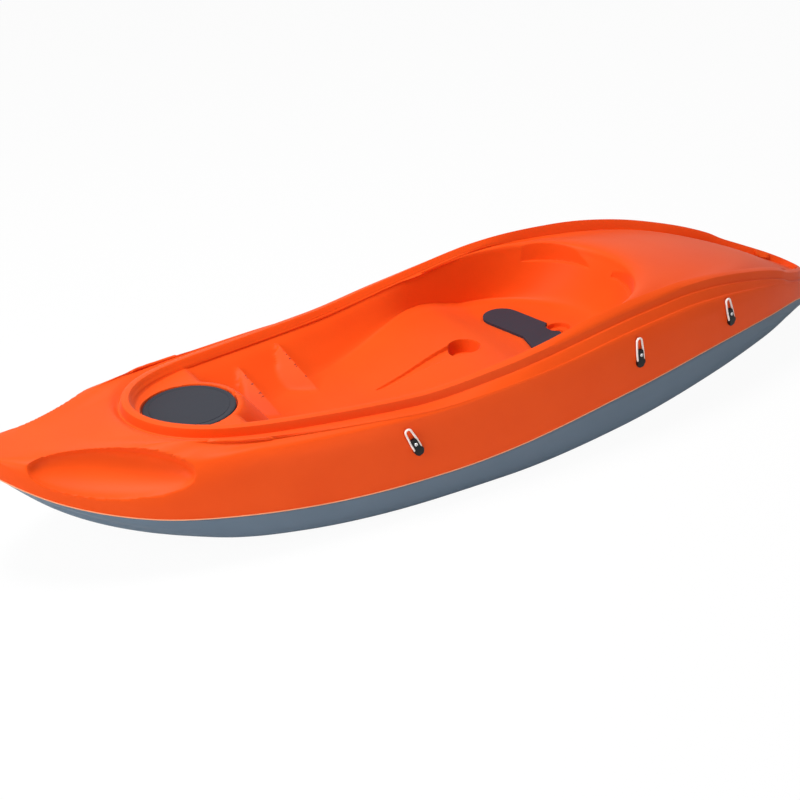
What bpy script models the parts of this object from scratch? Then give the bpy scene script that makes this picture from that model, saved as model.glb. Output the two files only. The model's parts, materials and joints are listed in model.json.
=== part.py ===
# A short one-seat sit-on-top kayak: two formed shells welded at a low seam, a round flush hatch with a
# lift-out lid, a glued seat pad, drains through the hull, and six cord loops that swivel on the sides.
#
# Metres, +X to the bow, +Y to port, +Z up. The origin is the middle of the plane that the keel rests on.

import math

import bmesh
import bpy
import numpy as np
from mathutils import Matrix, Vector

# Outline of the seam, seen from above
LENGTH = 2.68
BEAM = 0.79
BOW_FULLNESS = (2.5, 0.60)
STERN_FULLNESS = (2.3, 0.66)
TIP = LENGTH / 2

# Places along the kayak are written for a length of 2.68 m and stretch with the length
STRETCH = LENGTH / 2.68

# Curves along the kayak, as (x, value): a smooth curve goes through the points
SEAM_HEIGHT = ((-1.34, 0.076), (-1.2, 0.146), (-1.0, 0.177), (-0.8, 0.185), (-0.4, 0.158), (0.0, 0.112),
               (0.2, 0.104), (0.4, 0.106), (0.8, 0.137), (1.0, 0.168), (1.2, 0.232), (1.34, 0.304))
GUNWALE_WIDTH = ((-1.34, 0.080), (-1.1, 0.183), (-0.9, 0.246), (-0.6, 0.306), (-0.3, 0.343), (-0.1, 0.351),
                 (0.2, 0.332), (0.6, 0.268), (0.8, 0.240), (0.93, 0.220))
GUNWALE_WIDEST = 0.90
GUNWALE_HEIGHT = ((-1.34, 0.160), (-1.28, 0.196), (-1.2, 0.231), (-1.13, 0.262), (-1.1, 0.280), (-0.9, 0.349),
                  (-0.75, 0.380), (-0.6, 0.391), (-0.4, 0.386), (0.0, 0.342), (0.25, 0.321), (0.6, 0.330),
                  (0.93, 0.350))
CREST_RISE = ((-1.34, 0.0), (-1.1, 0.001), (-0.8, 0.003), (-0.5, 0.012), (-0.33, 0.014), (-0.15, 0.007),
              (0.0, 0.003), (0.25, 0.001), (0.93, 0.001))
SHOULDER_OFFSET = ((-1.34, 0.012), (-0.9, 0.022), (-0.05, 0.030), (0.36, 0.045), (0.72, 0.049), (0.93, 0.047))
SHOULDER_DROP = ((-1.34, 0.016), (-1.1, 0.036), (-0.9, 0.048), (-0.7, 0.052), (-0.3, 0.052), (0.0, 0.042),
                 (0.36, 0.024), (0.72, 0.020), (0.93, 0.016))
DECK_EDGE_HEIGHT = ((-1.34, 0.152), (-1.2, 0.210), (-1.1, 0.252), (-0.9, 0.326), (-0.74, 0.356), (-0.53, 0.371),
                    (-0.4, 0.371))
DECK_CENTRE_HEIGHT = ((-1.34, 0.160), (-1.25, 0.206), (-1.0, 0.312), (-0.8, 0.360), (-0.64, 0.372),
                      (-0.4, 0.372))
FOREDECK_HEIGHT = ((0.9, 0.349), (1.1, 0.341), (1.2, 0.344), (1.34, 0.347))
FLOOR_WIDTH = ((-0.52, 0.265), (-0.3, 0.310), (-0.14, 0.313), (0.02, 0.268), (0.17, 0.215), (0.33, 0.155),
               (0.49, 0.100), (0.56, 0.090))
FLOOR_HEIGHT = ((-0.52, 0.214), (-0.45, 0.210), (-0.25, 0.210), (-0.19, 0.238), (-0.15, 0.2450), (-0.099, 0.243),
                (-0.05, 0.240), (0.0, 0.231), (0.1, 0.206), (0.2, 0.188), (0.25, 0.184), (0.56, 0.182))
CHINE_HEIGHT = ((-1.34, 0.062), (-1.2, 0.088), (-1.0, 0.087), (-0.8, 0.075), (-0.4, 0.036), (0.0, 0.012),
                (0.2, 0.012), (0.4, 0.016), (0.6, 0.030), (0.8, 0.058), (1.0, 0.122), (1.2, 0.210), (1.34, 0.298))
KEEL_HEIGHT = ((-1.34, 0.056), (-1.2, 0.066), (-0.8, 0.040), (-0.35, 0.007), (0.35, 0.007), (0.8, 0.038),
               (1.0, 0.082), (1.2, 0.172), (1.34, 0.292))

# Gunwale lip, the notch outside it and the ridge below: how far out and how far down from the gunwale line
LIP_OUTER = (0.002, 0.002)
LIP_INNER = -0.017
LIP_FOOT = (-0.024, 0.012)
NOTCH_IN = (0.006, 0.026)
NOTCH_OUT = (0.012, 0.028)
SHOULDER_SHARE = 0.93
COAMING_FRONT = 0.922 * STRETCH

# Shells
DECK_WALL = 0.004
HULL_WALL = 0.004
FLANGE_WIDTH = 0.012
CORE_SHORT = 0.018
SEAM_GAP = 0.0009
GAP = 0.0003
STATIONS = 21

# Cockpit
COCKPIT_AFT = -0.638 * STRETCH
COCKPIT_FORE = 0.900 * STRETCH
RIM_INSET = 0.030
RIM_DROP = 0.030
FLOOR_AFT = -0.515 * STRETCH
FLOOR_FORE = 0.560 * STRETCH
FLOOR_EDGE_RISE = 0.03
FLOOR_MARGIN = 0.050

# Foot steps on the tub's sides: foot of the crest, its top on the wall, and the ramp's end on the floor
FOOT_STEPS = (((0.477, 0.029), (0.515, 0.213, 0.272), (0.568, 0.058)),
              ((0.320, 0.105), (0.368, 0.255, 0.286), (0.420, 0.153)))
STEP_DEPTH = 0.150
STEP_DRAFT = 0.006
STEP_ROOT = 0.050

# Cup recess and its channel
CUP_X = -0.099 * STRETCH
CUP_RADIUS = 0.047
CUP_TAPER = 0.0045
CUP_DEPTH = 0.040
CHANNEL_TIP = 0.225 * STRETCH
CHANNEL_WIDTH = 0.030
CHANNEL_DEPTH = 0.008

# Seat drain recess and the pipes through the hull
DRAIN_X = -0.424 * STRETCH
DRAIN_RADIUS = 0.0336
DRAIN_DEPTH = 0.014
PIPE_BORE = 0.012
PIPE_WALL = 0.003
PIPE_FOOT = 0.030

# Crescent ledges on the back wall
CRESCENT_PLACE = (-0.535 * STRETCH, 0.145, 0.350)
CRESCENT_SIZE = (0.034, 0.082)
CRESCENT_TURN = math.radians(-35)

# Hatch: the shelf under it lies below the front end of the lip
HATCH_X = 0.759 * STRETCH
HATCH_RADIUS = 0.127
HATCH_CLEARANCE = 0.0025
HATCH_RECESS = 0.014
SHELF_DROP = 0.040
SHELF_HEIGHT = GUNWALE_HEIGHT[-1][1] - SHELF_DROP
SHELF_EDGE = 0.672 * STRETCH
SHELF_FRONT = 0.870 * STRETCH
SHELF_HALF_WIDTH = 0.235
SHELF_RIM = 0.020
SHELF_SLOPE = 0.75
SHELF_FALL = 0.140

# Hatch frame, gasket and lid, all set from the hatch's radius
FLANGE_INSET = 0.008
FRAME_FLANGE_RADIUS = HATCH_RADIUS - FLANGE_INSET
SCREW_INSET = 0.006
HATCH_SCREW_CIRCLE = FRAME_FLANGE_RADIUS - SCREW_INSET
FLANGE_BEARING = 0.019
HATCH_OPENING = FRAME_FLANGE_RADIUS - FLANGE_BEARING
SKIN_OPENING_GAP = 0.0010
FRAME_FLANGE = 0.003
FRAME_COLLAR = 0.030
FRAME_COLLAR_WALL = 0.005
HATCH_SCREWS = 6
HATCH_SCREW_RADIUS = 0.0019
HATCH_SCREW_HEAD = (0.0035, 0.0014)
HATCH_SCREW_LENGTH = 0.013
GASKET_WIDTH = 0.009
GASKET_HEIGHT = 0.003
LID_PLATE = 0.006
LID_CROWN = 0.001
LID_SKIRT = 0.020
LID_SKIRT_WALL = 0.003
RECESS_FLOOR = SHELF_HEIGHT - HATCH_RECESS
FRAME_SEAT = RECESS_FLOOR + GAP
FRAME_TOP = FRAME_SEAT + FRAME_FLANGE
COLLAR_RADIUS = HATCH_OPENING - SKIN_OPENING_GAP
LID_UNDERSIDE = FRAME_TOP + GASKET_HEIGHT + 2 * GAP

# Hollows to carry the bow and the stern by
BOW_GRIP_FORE = (1.253 * STRETCH, 0.108, 0.322)
BOW_GRIP_AFT = (0.882 * STRETCH, 0.294, 0.264)
BOW_GRIP_HALF_WIDTH = 0.068
BOW_GRIP_DEPTH = 0.040
BOW_GRIP_TILT = math.radians(45)
STERN_GRIP_PLACE = (-1.225 * STRETCH, 0.062, 0.214)
STERN_GRIP_SIZE = (0.044, 0.018, 0.022)

# Seat pad
PAD_CENTRE = -0.352 * STRETCH
PAD_HALF_LENGTH = 0.215
PAD_HALF_WIDTH = 0.073
PAD_THICKNESS = 0.008
PAD_EDGE = 0.003
PAD_HOLE_MARGIN = 0.006
PAD_FLOOR = 0.2095
PAD_MARGIN = 0.003

# Foam blocks between the shells: fore end, aft end, half width
FOOTWELL_BLOCK = (0.44 * STRETCH, 0.26 * STRETCH, 0.055)
SEAT_BLOCK = (-0.190 * STRETCH, -0.320 * STRETCH, 0.110)
FOAM_MARGIN = 0.0008
FOAM_CORNER = 0.012

# Keel strake and runners: distance from the middle, half width, fore end, aft end
STRAKES = ((0.0, 0.016, 1.10, -1.15), (0.150, 0.011, 0.85, -0.95), (-0.150, 0.011, 0.85, -0.95))
STRAKE_SUNK = 0.0012
STRAKE_FLARE = 0.006
STRAKE_FADE = 0.25

# Side fittings: the screw's place along the kayak and its height, and the loop's direction from the bow
FITTINGS = (("fore", 0.290, 0.219, math.radians(70)), ("middle", -0.447, 0.263, math.radians(86)),
            ("aft", -0.810, 0.264, math.radians(76)))
FITTING_BODY = (0.052, 0.026, 0.011)
FITTING_BODY_FORE = 0.015
FITTING_RADIUS = 0.0045
FITTING_LIFT = 0.0006
LOOP_REACH = 0.045
CORD_RADIUS = 0.0026
CORD_HALF_GAP = 0.0072
CORD_SOCKET = 0.010
FITTING_SCREW_RADIUS = 0.0025
FITTING_SCREW_HEAD = (0.0052, 0.0022)
FITTING_SCREW_LENGTH = 0.026
INSERT_RADIUS = 0.0065
INSERT_HEAD = (0.0095, 0.002)
INSERT_LENGTH = 0.012
INSERT_GAP = 0.0015

# Drain bung on the starboard side at the stern
BUNG_X = -1.02 * STRETCH
BUNG_HEIGHT = 0.236
BUNG_THREAD_RADIUS = 0.011
BUNG_FLANGE_RADIUS = 0.021
BUNG_FLANGE = 0.003
BUNG_SEAT_DEPTH = 0.0015
BUNG_BUSH_LENGTH = 0.016
BUNG_BUSH_WALL = 0.003
BUNG_HEAD = (0.016, 0.005)
BUNG_SEAL = (0.0135, 0.0020)
RUNNING_GAP = 0.0005

# Extra depth of a cutter past the surface that it opens
CUT_PAST = 0.010


# Smooth curve through (x, value) points that never overshoots them
def along(points, x):
    places, values = np.array(points, float).T
    places = places * STRETCH
    steps = np.diff(places)
    slopes = np.diff(values) / steps
    tangents = np.concatenate([slopes[:1], (slopes[:-1] + slopes[1:]) / 2, slopes[-1:]])
    turns = slopes[:-1] * slopes[1:] <= 0
    tangents[1:-1][turns] = 0
    before = np.concatenate([slopes[:1], slopes])
    after = np.concatenate([slopes, slopes[-1:]])
    limit = 3 * np.minimum(abs(before), abs(after))
    tangents = np.clip(tangents, -limit, limit)
    x = np.clip(np.asarray(x, float), places[0], places[-1])
    i = np.clip(np.searchsorted(places, x, side="right") - 1, 0, len(steps) - 1)
    t = (x - places[i]) / steps[i]
    start = values[i] * (1 + 2 * t) * (1 - t) ** 2 + tangents[i] * steps[i] * t * (1 - t) ** 2
    end = values[i + 1] * t * t * (3 - 2 * t) + tangents[i + 1] * steps[i] * t * t * (t - 1)
    return start + end


def eased(low, high, x):
    t = np.clip((np.asarray(x, float) - low) / (high - low), 0, 1)
    return t * t * (3 - 2 * t)


def mixed(a, b, share):
    return a + (b - a) * share


# Half width at the seam
def seam_width(x):
    share = np.clip(abs(x) / TIP, 0, 1)
    bow = (1 - share ** BOW_FULLNESS[0]) ** BOW_FULLNESS[1]
    stern = (1 - share ** STERN_FULLNESS[0]) ** STERN_FULLNESS[1]
    return BEAM / 2 * np.where(x > 0, bow, stern)


# One ring round the kayak, port half from the bow end to the stern end
def ring(fore, aft, width, height, fore_power=4.0, aft_power=4.0):
    turn = np.linspace(0, math.pi, STATIONS + 1)
    share = np.cos(turn)
    x = (fore + aft) / 2 + (fore - aft) / 2 * share
    power = np.where(share > 0, fore_power, aft_power)
    end = np.sqrt(np.clip(1 - abs(share) ** power, 0, 1))
    y = width(x) * end
    y[[0, -1]] = 0
    return np.stack([x, y, height(x, y)], axis=1)


def seam_ring(inset, height):
    turn = np.linspace(0, math.pi, STATIONS + 1)
    x = (TIP - inset) * np.cos(turn)
    y = np.clip(seam_width(x / (1 - 2 * inset / LENGTH)) - inset, 0, None)
    y[[0, -1]] = 0
    return np.stack([x, y, height(x, y)], axis=1)


def centre_line(fore, aft, height):
    return ring(fore, aft, lambda x: 0 * x, height)


def gunwale_width(x):
    return np.minimum(along(GUNWALE_WIDTH, x), GUNWALE_WIDEST * seam_width(x))


# Height of the side and foredeck: amidships as given, at the bow a rounded section over the seam
def side_height(x, y, amidships):
    seam = along(SEAM_HEIGHT, x)
    across = np.clip(y / np.maximum(seam_width(x), 1e-4), 0, 1)
    crown = seam + (along(FOREDECK_HEIGHT, x) - seam) * np.sqrt(1 - across ** 8)
    return mixed(amidships, crown, eased(0.72 * STRETCH, 0.96 * STRETCH, x))


def side_ring(fore, aft, out, up, power=4.0):
    def width(x):
        shoulder = np.minimum(gunwale_width(x) + along(SHOULDER_OFFSET, x), 0.97 * seam_width(x))
        return mixed(shoulder, seam_width(x), out)

    def height(x, y):
        shoulder = along(GUNWALE_HEIGHT, x) - along(SHOULDER_DROP, x)
        return side_height(x, y, mixed(along(SEAM_HEIGHT, x), shoulder, up))

    return ring(fore, aft, width, height, fore_power=power, aft_power=60.0)


def lip_ring(fore, aft, offset, height):
    def width(x):
        out = offset(x) if callable(offset) else offset
        return np.maximum(gunwale_width(x) + out * eased(-TIP, 0.1 - TIP, x), 0)

    return ring(fore, aft, width, height, fore_power=9.0, aft_power=30.0)


def aft_deck_height(x, y):
    across = np.clip(y / np.maximum(gunwale_width(x), 0.02), 0, 1)
    return mixed(along(DECK_CENTRE_HEIGHT, x), along(DECK_EDGE_HEIGHT, x), across ** 2)


# 0 on the aft deck, 1 beside the cockpit
def cockpit_share(x):
    return eased(-0.50 * STRETCH, -0.36 * STRETCH, x)


def crest_height(x):
    return along(GUNWALE_HEIGHT, x) + along(CREST_RISE, x)


# Inside the lip: the aft deck, and forward of it the top of the tub's wall
def inner_height(drop):
    def height(x, y):
        return mixed(aft_deck_height(x, y), crest_height(x) - drop, cockpit_share(x))

    return height


def tub_ring(share, up):
    fore = mixed(COCKPIT_FORE, FLOOR_FORE, share)
    aft = mixed(COCKPIT_AFT, FLOOR_AFT, share)

    def width(x):
        rim = gunwale_width(x) - RIM_INSET
        return mixed(rim, along(FLOOR_WIDTH, x), share)

    def height(x, y):
        return mixed(along(FLOOR_HEIGHT, x), inner_height(RIM_DROP)(x, y), up)

    return ring(fore, aft, width, height, fore_power=6.0, aft_power=6.0)


def seam_height(x, y):
    return along(SEAM_HEIGHT, x)


# Height at a drop below the gunwale line
def below_gunwale(drop):
    return lambda x, y: along(GUNWALE_HEIGHT, x) - (drop(x) if callable(drop) else drop)


# Rings of the deck's outer surface, from the seam in to the floor's middle
def deck_rings():
    def foot(x, y):
        return mixed(along(DECK_EDGE_HEIGHT, x), crest_height(x) - LIP_FOOT[1], cockpit_share(x))

    def floor(x, y):
        return along(FLOOR_HEIGHT, x)

    return [
        seam_ring(0, seam_height),
        side_ring(TIP - 0.0015, 0.0015 - TIP, 0.99, 0.12, power=60.0),
        side_ring(TIP - 0.006, 0.004 - TIP, 0.94, 0.40, power=40.0),
        side_ring(TIP - 0.018, 0.008 - TIP, 0.76, 0.72, power=24.0),
        side_ring(TIP - 0.080, 0.012 - TIP, 0.46, 0.90, power=8.0),
        side_ring(TIP - 0.220, 0.016 - TIP, 0.18, 0.975, power=5.0),
        lip_ring(COAMING_FRONT + 0.042, 0.021 - TIP, lambda x: SHOULDER_SHARE * along(SHOULDER_OFFSET, x),
                 below_gunwale(lambda x: along(SHOULDER_DROP, x))),
        lip_ring(COAMING_FRONT + 0.026, 0.024 - TIP, NOTCH_OUT[0], below_gunwale(NOTCH_OUT[1])),
        lip_ring(COAMING_FRONT + 0.019, 0.027 - TIP, NOTCH_IN[0], below_gunwale(NOTCH_IN[1])),
        lip_ring(COAMING_FRONT + 0.014, 0.030 - TIP, LIP_OUTER[0], below_gunwale(LIP_OUTER[1])),
        lip_ring(COAMING_FRONT - 0.006, 0.044 - TIP, LIP_INNER, lambda x, y: crest_height(x)),
        lip_ring(COAMING_FRONT - 0.012, 0.054 - TIP, LIP_FOOT[0], foot),
        ring(COAMING_FRONT - 0.015, 0.26 - TIP, lambda x: gunwale_width(x) - 0.027, inner_height(0.018), 8.0, 6.0),
        ring(COAMING_FRONT - 0.018, 0.54 - TIP, lambda x: gunwale_width(x) - 0.030, inner_height(0.024), 7.0, 6.0),
        tub_ring(0.00, 1.00),
        tub_ring(0.12, 0.86),
        tub_ring(0.45, 0.42),
        tub_ring(0.78, 0.10),
        tub_ring(0.97, FLOOR_EDGE_RISE),
        ring(FLOOR_FORE - 0.025, FLOOR_AFT + 0.04, lambda x: along(FLOOR_WIDTH, x) - FLOOR_MARGIN, floor),
        centre_line(FLOOR_FORE - 0.05, FLOOR_AFT + 0.08, floor),
    ]


def hull_rings():
    def keel(x, y):
        return along(KEEL_HEIGHT, x)

    def chine(x, y):
        return along(CHINE_HEIGHT, x)

    def narrowed(inset, least):
        return lambda x: np.maximum(seam_width(x) - inset, least * seam_width(x))

    def between(share):
        return lambda x, y: mixed(keel(x, y), chine(x, y), share)

    def side(x, y):
        return mixed(chine(x, y), along(SEAM_HEIGHT, x), 0.45)

    return [
        centre_line(TIP - 0.10, 0.06 - TIP, keel),
        ring(TIP - 0.070, 0.040 - TIP, lambda x: 0.45 * seam_width(x), between(0.12), 6, 6),
        ring(TIP - 0.030, 0.020 - TIP, lambda x: 0.78 * seam_width(x), between(0.45), 12, 12),
        ring(TIP - 0.015, 0.010 - TIP, narrowed(0.035, 0.80), chine, 30, 30),
        ring(TIP - 0.007, 0.005 - TIP, narrowed(0.012, 0.93), side, 60, 60),
        seam_ring(0, seam_height),
    ]


# Surface normals of a net of rings, pointing away from the kayak's middle
def normals(rings):
    along_ring = np.gradient(rings, axis=1)
    across = np.gradient(rings, axis=0)
    found = np.cross(along_ring, across)
    found[:, [0, -1], 1] = 0
    found /= np.maximum(np.linalg.norm(found, axis=2, keepdims=True), 1e-12)
    flat = abs(rings[:, :, 1]).max(axis=1) < 1e-6
    found[flat] = (0, 0, 1 if flat[-1] else -1)
    return found


# Closed solid from nested rings: a grid bent onto the rings, port and starboard, and welded on the centre line
def ring_solid(name, rings, short=0):
    rings = np.array(rings)
    x = rings[:, :, 0]
    rings[:, :, 0] -= short * np.sign(x) * eased(TIP - 0.12, TIP, abs(x))
    starboard = rings[:, -2:0:-1] * (1, -1, 1)
    loops = np.concatenate([rings, starboard, rings[:, :1]], axis=1)
    rows, columns = loops.shape[:2]
    bm = bmesh.new()
    bmesh.ops.create_grid(bm, x_segments=rows - 1, y_segments=columns - 1, size=0.5)
    for vert in bm.verts:
        row = round((vert.co.x + 0.5) * (rows - 1))
        column = round((vert.co.y + 0.5) * (columns - 1))
        vert.co = loops[row, column]
    bmesh.ops.remove_doubles(bm, verts=bm.verts, dist=2e-5)
    bmesh.ops.dissolve_degenerate(bm, edges=bm.edges, dist=1e-5)
    # the outer and the inner solid split their faces along the same diagonals, so that the wall stays whole
    bmesh.ops.triangulate(bm, faces=bm.faces, quad_method="SHORT_EDGE")
    return finished(name, bm)


def finished(name, bm):
    bmesh.ops.recalc_face_normals(bm, faces=bm.faces)
    if bm.calc_volume(signed=True) < 0:
        bmesh.ops.reverse_faces(bm, faces=bm.faces)
    mesh = bpy.data.meshes.new(name)
    bm.to_mesh(mesh)
    bm.free()
    mesh.shade_smooth()
    mesh.set_sharp_from_angle(angle=math.radians(40))
    obj = bpy.data.objects.new(name, mesh)
    bpy.context.scene.collection.objects.link(obj)
    return obj


def helper(obj):
    obj.hide_render = True
    obj.display_type = "WIRE"
    return obj


def combine(obj, other, operation, solver="EXACT"):
    modifier = obj.modifiers.new(f"{operation} {other.name}", "BOOLEAN")
    modifier.operation = operation
    modifier.object = other
    modifier.solver = solver


def material(name, colour, roughness, metallic=0.0):
    made = bpy.data.materials.new(name)
    made.use_nodes = True
    shader = made.node_tree.nodes["Principled BSDF"]
    shader.inputs["Base Color"].default_value = (*colour, 1)
    shader.inputs["Roughness"].default_value = roughness
    shader.inputs["Metallic"].default_value = metallic
    return made


# Upright cylinder or cone between two heights
def cylinder(name, centre, radius, low, high, top_radius=None, sides=24):
    bm = bmesh.new()
    place = Matrix.Translation((centre[0], centre[1], (low + high) / 2))
    bmesh.ops.create_cone(
        bm, cap_ends=True, segments=sides, radius1=radius, radius2=top_radius or radius, depth=high - low, matrix=place
    )
    return finished(name, bm)


# Turn and place that put local X along one direction and local Z as near as it can be to another
def axes(place, along_x, near_z):
    x = Vector(along_x).normalized()
    y = Vector(near_z).cross(x).normalized()
    z = x.cross(y)
    return Matrix.Translation(place) @ Matrix((x, y, z)).transposed().to_4x4()


def ellipsoid(name, size, place, sides=16):
    bm = bmesh.new()
    bmesh.ops.create_uvsphere(bm, u_segments=sides, v_segments=sides // 2, radius=1)
    bm.transform(place @ Matrix.Diagonal((*size, 1)))
    return finished(name, bm)


def bow_grip(name, side, wall):
    fore = Vector(BOW_GRIP_FORE)
    aft = Vector(BOW_GRIP_AFT)
    fore.y *= side
    aft.y *= side
    size = ((fore - aft).length / 2 + wall, BOW_GRIP_HALF_WIDTH + wall, BOW_GRIP_DEPTH + wall)
    up = (0, side * math.sin(BOW_GRIP_TILT), math.cos(BOW_GRIP_TILT))
    return ellipsoid(name, size, axes((fore + aft) / 2, fore - aft, up))


def stern_grip(name, side, wall):
    x, y, z = STERN_GRIP_PLACE
    size = [length + wall for length in STERN_GRIP_SIZE]
    return ellipsoid(name, size, axes((x, side * y, z), (1, side * 0.75, 0.3), (0, side, 1)), sides=12)


# Prism between an outline at one height and the same outline, moved, at another
def prism(name, lower, upper):
    bm = bmesh.new()
    bottom = [bm.verts.new(point) for point in lower]
    top = [bm.verts.new(point) for point in upper]
    bm.faces.new(bottom)
    bm.faces.new(top)
    for i in range(len(bottom)):
        j = (i + 1) % len(bottom)
        bm.faces.new((bottom[i], bottom[j], top[j], top[i]))
    return finished(name, bm)


# Shelf under the hatch: a block with a sloped aft wall that swells round the lid. The wall is taken off inside.
def shelf(name, wall):
    reach = HATCH_RADIUS + SHELF_RIM - wall
    edge = SHELF_EDGE + wall
    half = math.sqrt(reach**2 - (HATCH_X - edge) ** 2)
    top = SHELF_HEIGHT - wall
    bulge = [
        (HATCH_X - math.sqrt(reach**2 - y**2), y) for y in np.linspace(-half, half, 15)
    ]
    outline = [(SHELF_FRONT, -SHELF_HALF_WIDTH), (edge, -SHELF_HALF_WIDTH), *bulge]
    outline += [(edge, SHELF_HALF_WIDTH), (SHELF_FRONT, SHELF_HALF_WIDTH)]
    upper = [(x, y, top) for x, y in outline]
    lower = [(x - (SHELF_SLOPE * SHELF_FALL if x < SHELF_FRONT else 0), y, top - SHELF_FALL) for x, y in outline]
    return prism(name, lower, upper)


# Foot step: a crest that climbs the wall, with a steep face toward the seat and a ramp toward the bow
def foot_step(name, step, side, wall):
    (foot_x, foot_y), (top_x, top_y, top), (end_x, end_y) = step
    outline = [
        (foot_x, foot_y, float(along(FLOOR_HEIGHT, foot_x * STRETCH)) - 0.001),
        (top_x, top_y, top),
        (top_x + 0.012, top_y + STEP_ROOT, top),
        (end_x, end_y + STEP_ROOT, float(along(FLOOR_HEIGHT, end_x * STRETCH))),
        (end_x, end_y, float(along(FLOOR_HEIGHT, end_x * STRETCH)) - 0.002),
    ]
    bm = bmesh.new()
    upper, lower = [], []
    for number, (x, y, z) in enumerate(outline):
        on_crest = number < 2
        place = x * STRETCH + (wall if on_crest else -wall)
        upper.append(bm.verts.new((place, side * (y + wall), z - 1.3 * wall)))
        lower.append(bm.verts.new((place - STEP_DRAFT * on_crest, side * (y + wall), STEP_DEPTH)))
    for corners in ((0, 1, 4), (1, 3, 4), (1, 2, 3)):
        bm.faces.new([upper[i] for i in corners])
        bm.faces.new([lower[i] for i in corners])
    for i in range(5):
        j = (i + 1) % 5
        bm.faces.new((upper[i], upper[j], lower[j], lower[i]))
    bmesh.ops.triangulate(bm, faces=bm.faces)
    return finished(name, bm)


# Channel in the floor from the cup to its tip
def channel(name, wall):
    places = np.linspace(CUP_X, CHANNEL_TIP + wall, 7)
    bm = bmesh.new()
    rows = []
    for x in places:
        half = mixed(CHANNEL_WIDTH / 2, 0.003, (x - CUP_X) / (CHANNEL_TIP - CUP_X)) + wall
        low = float(along(FLOOR_HEIGHT, x)) - CHANNEL_DEPTH - wall
        corners = ((-half, low), (half, low), (half, low + 0.04), (-half, low + 0.04))
        rows.append([bm.verts.new((x, y, z)) for y, z in corners])
    for first, second in zip(rows, rows[1:]):
        for i in range(4):
            j = (i + 1) % 4
            bm.faces.new((first[i], first[j], second[j], second[i]))
    bm.faces.new(rows[0])
    bm.faces.new(rows[-1])
    return finished(name, bm)


def crescent(name, side, wall):
    x, y, z = CRESCENT_PLACE
    bm = bmesh.new()
    bmesh.ops.create_cone(bm, cap_ends=True, segments=18, radius1=1, radius2=1, depth=1)
    size = Matrix.Diagonal((CRESCENT_SIZE[0] + wall, CRESCENT_SIZE[1] + wall, 0.10, 1))
    turn = Matrix.Rotation(side * CRESCENT_TURN, 4, "Z")
    bm.transform(Matrix.Translation((x, side * y, z - wall + 0.05)) @ turn @ size)
    return finished(name, bm)


# Everything that shapes both faces of the deck's skin: with no wall for the outer face, with it for the inner
def deck_features(obj, wall):
    tag = "inner" if wall else "outer"
    combine(obj, helper(shelf(f"{tag}_shelf", wall)), "UNION")
    for number, step in enumerate(FOOT_STEPS):
        for side in (-1, 1):
            combine(obj, helper(foot_step(f"{tag}_step_{number}_{side}", step, side, wall)), "UNION")
    recess = cylinder(
        f"{tag}_hatch_recess", (HATCH_X, 0), HATCH_RADIUS + HATCH_CLEARANCE + wall,
        SHELF_HEIGHT - HATCH_RECESS - wall, SHELF_HEIGHT + 0.03, sides=32,
    )
    combine(obj, helper(recess), "DIFFERENCE")
    cup_floor = float(along(FLOOR_HEIGHT, CUP_X)) - CUP_DEPTH
    cup = cylinder(f"{tag}_cup", (CUP_X, 0), CUP_RADIUS - CUP_TAPER + wall, cup_floor - wall, cup_floor + 0.07,
                   CUP_RADIUS + CUP_TAPER + wall)
    combine(obj, helper(cup), "DIFFERENCE")
    combine(obj, helper(channel(f"{tag}_channel", wall)), "DIFFERENCE")
    combine(obj, helper(pad_recess(f"{tag}_pad_recess", wall)), "DIFFERENCE")
    drain_floor = float(along(FLOOR_HEIGHT, DRAIN_X)) - DRAIN_DEPTH
    drain = cylinder(f"{tag}_drain", (DRAIN_X, 0), DRAIN_RADIUS + wall, drain_floor - wall, drain_floor + 0.05)
    combine(obj, helper(drain), "DIFFERENCE")
    for side in (-1, 1):
        combine(obj, helper(crescent(f"{tag}_crescent_{side}", side, wall)), "DIFFERENCE")
        combine(obj, helper(bow_grip(f"{tag}_bow_grip_{side}", side, wall)), "DIFFERENCE", solver="MANIFOLD")
        combine(obj, helper(stern_grip(f"{tag}_stern_grip_{side}", side, wall)), "DIFFERENCE", solver="MANIFOLD")


# A pipe from a drain recess down to the hull, formed in one with the deck
def drain_pipes(obj, core):
    for tag, x, low in (("cup", CUP_X, CUP_DEPTH), ("seat", DRAIN_X, DRAIN_DEPTH)):
        floor = float(along(FLOOR_HEIGHT, x)) - low
        outside = cylinder(f"{tag}_pipe", (x, 0), PIPE_BORE + PIPE_WALL, PIPE_FOOT, floor - 0.001, sides=16)
        bore = cylinder(f"{tag}_bore", (x, 0), PIPE_BORE, PIPE_FOOT - 0.01, floor + 0.01, sides=16)
        combine(core, helper(outside), "DIFFERENCE", solver="MANIFOLD")
        combine(obj, outside, "UNION", solver="MANIFOLD")
        combine(obj, helper(bore), "DIFFERENCE", solver="MANIFOLD")


def make_deck():
    outer = np.array([centre_line(TIP - 0.02, 0.02 - TIP, seam_height), *deck_rings()])
    obj = ring_solid("deck_shell", outer)
    deck_features(obj, 0)
    inside = outer[1:] - DECK_WALL * normals(outer)[1:]
    below = lambda x, y: along(SEAM_HEIGHT, x) - 0.02
    above = lambda x, y: along(SEAM_HEIGHT, x) + DECK_WALL
    core = [
        centre_line(TIP - 0.04, 0.04 - TIP, below),
        seam_ring(FLANGE_WIDTH, below),
        seam_ring(FLANGE_WIDTH, above),
        seam_ring(DECK_WALL + 0.0015, above),
        *inside[2:],
    ]
    core = ring_solid("deck_core", core, CORE_SHORT)
    deck_features(core, DECK_WALL)
    combine(obj, helper(core), "DIFFERENCE", solver="MANIFOLD")
    drain_pipes(obj, core)
    opening = cylinder("hatch_opening", (HATCH_X, 0), HATCH_OPENING, SHELF_HEIGHT - 0.05, SHELF_HEIGHT + 0.02, sides=32)
    combine(obj, helper(opening), "DIFFERENCE", solver="MANIFOLD")
    return obj


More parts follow.
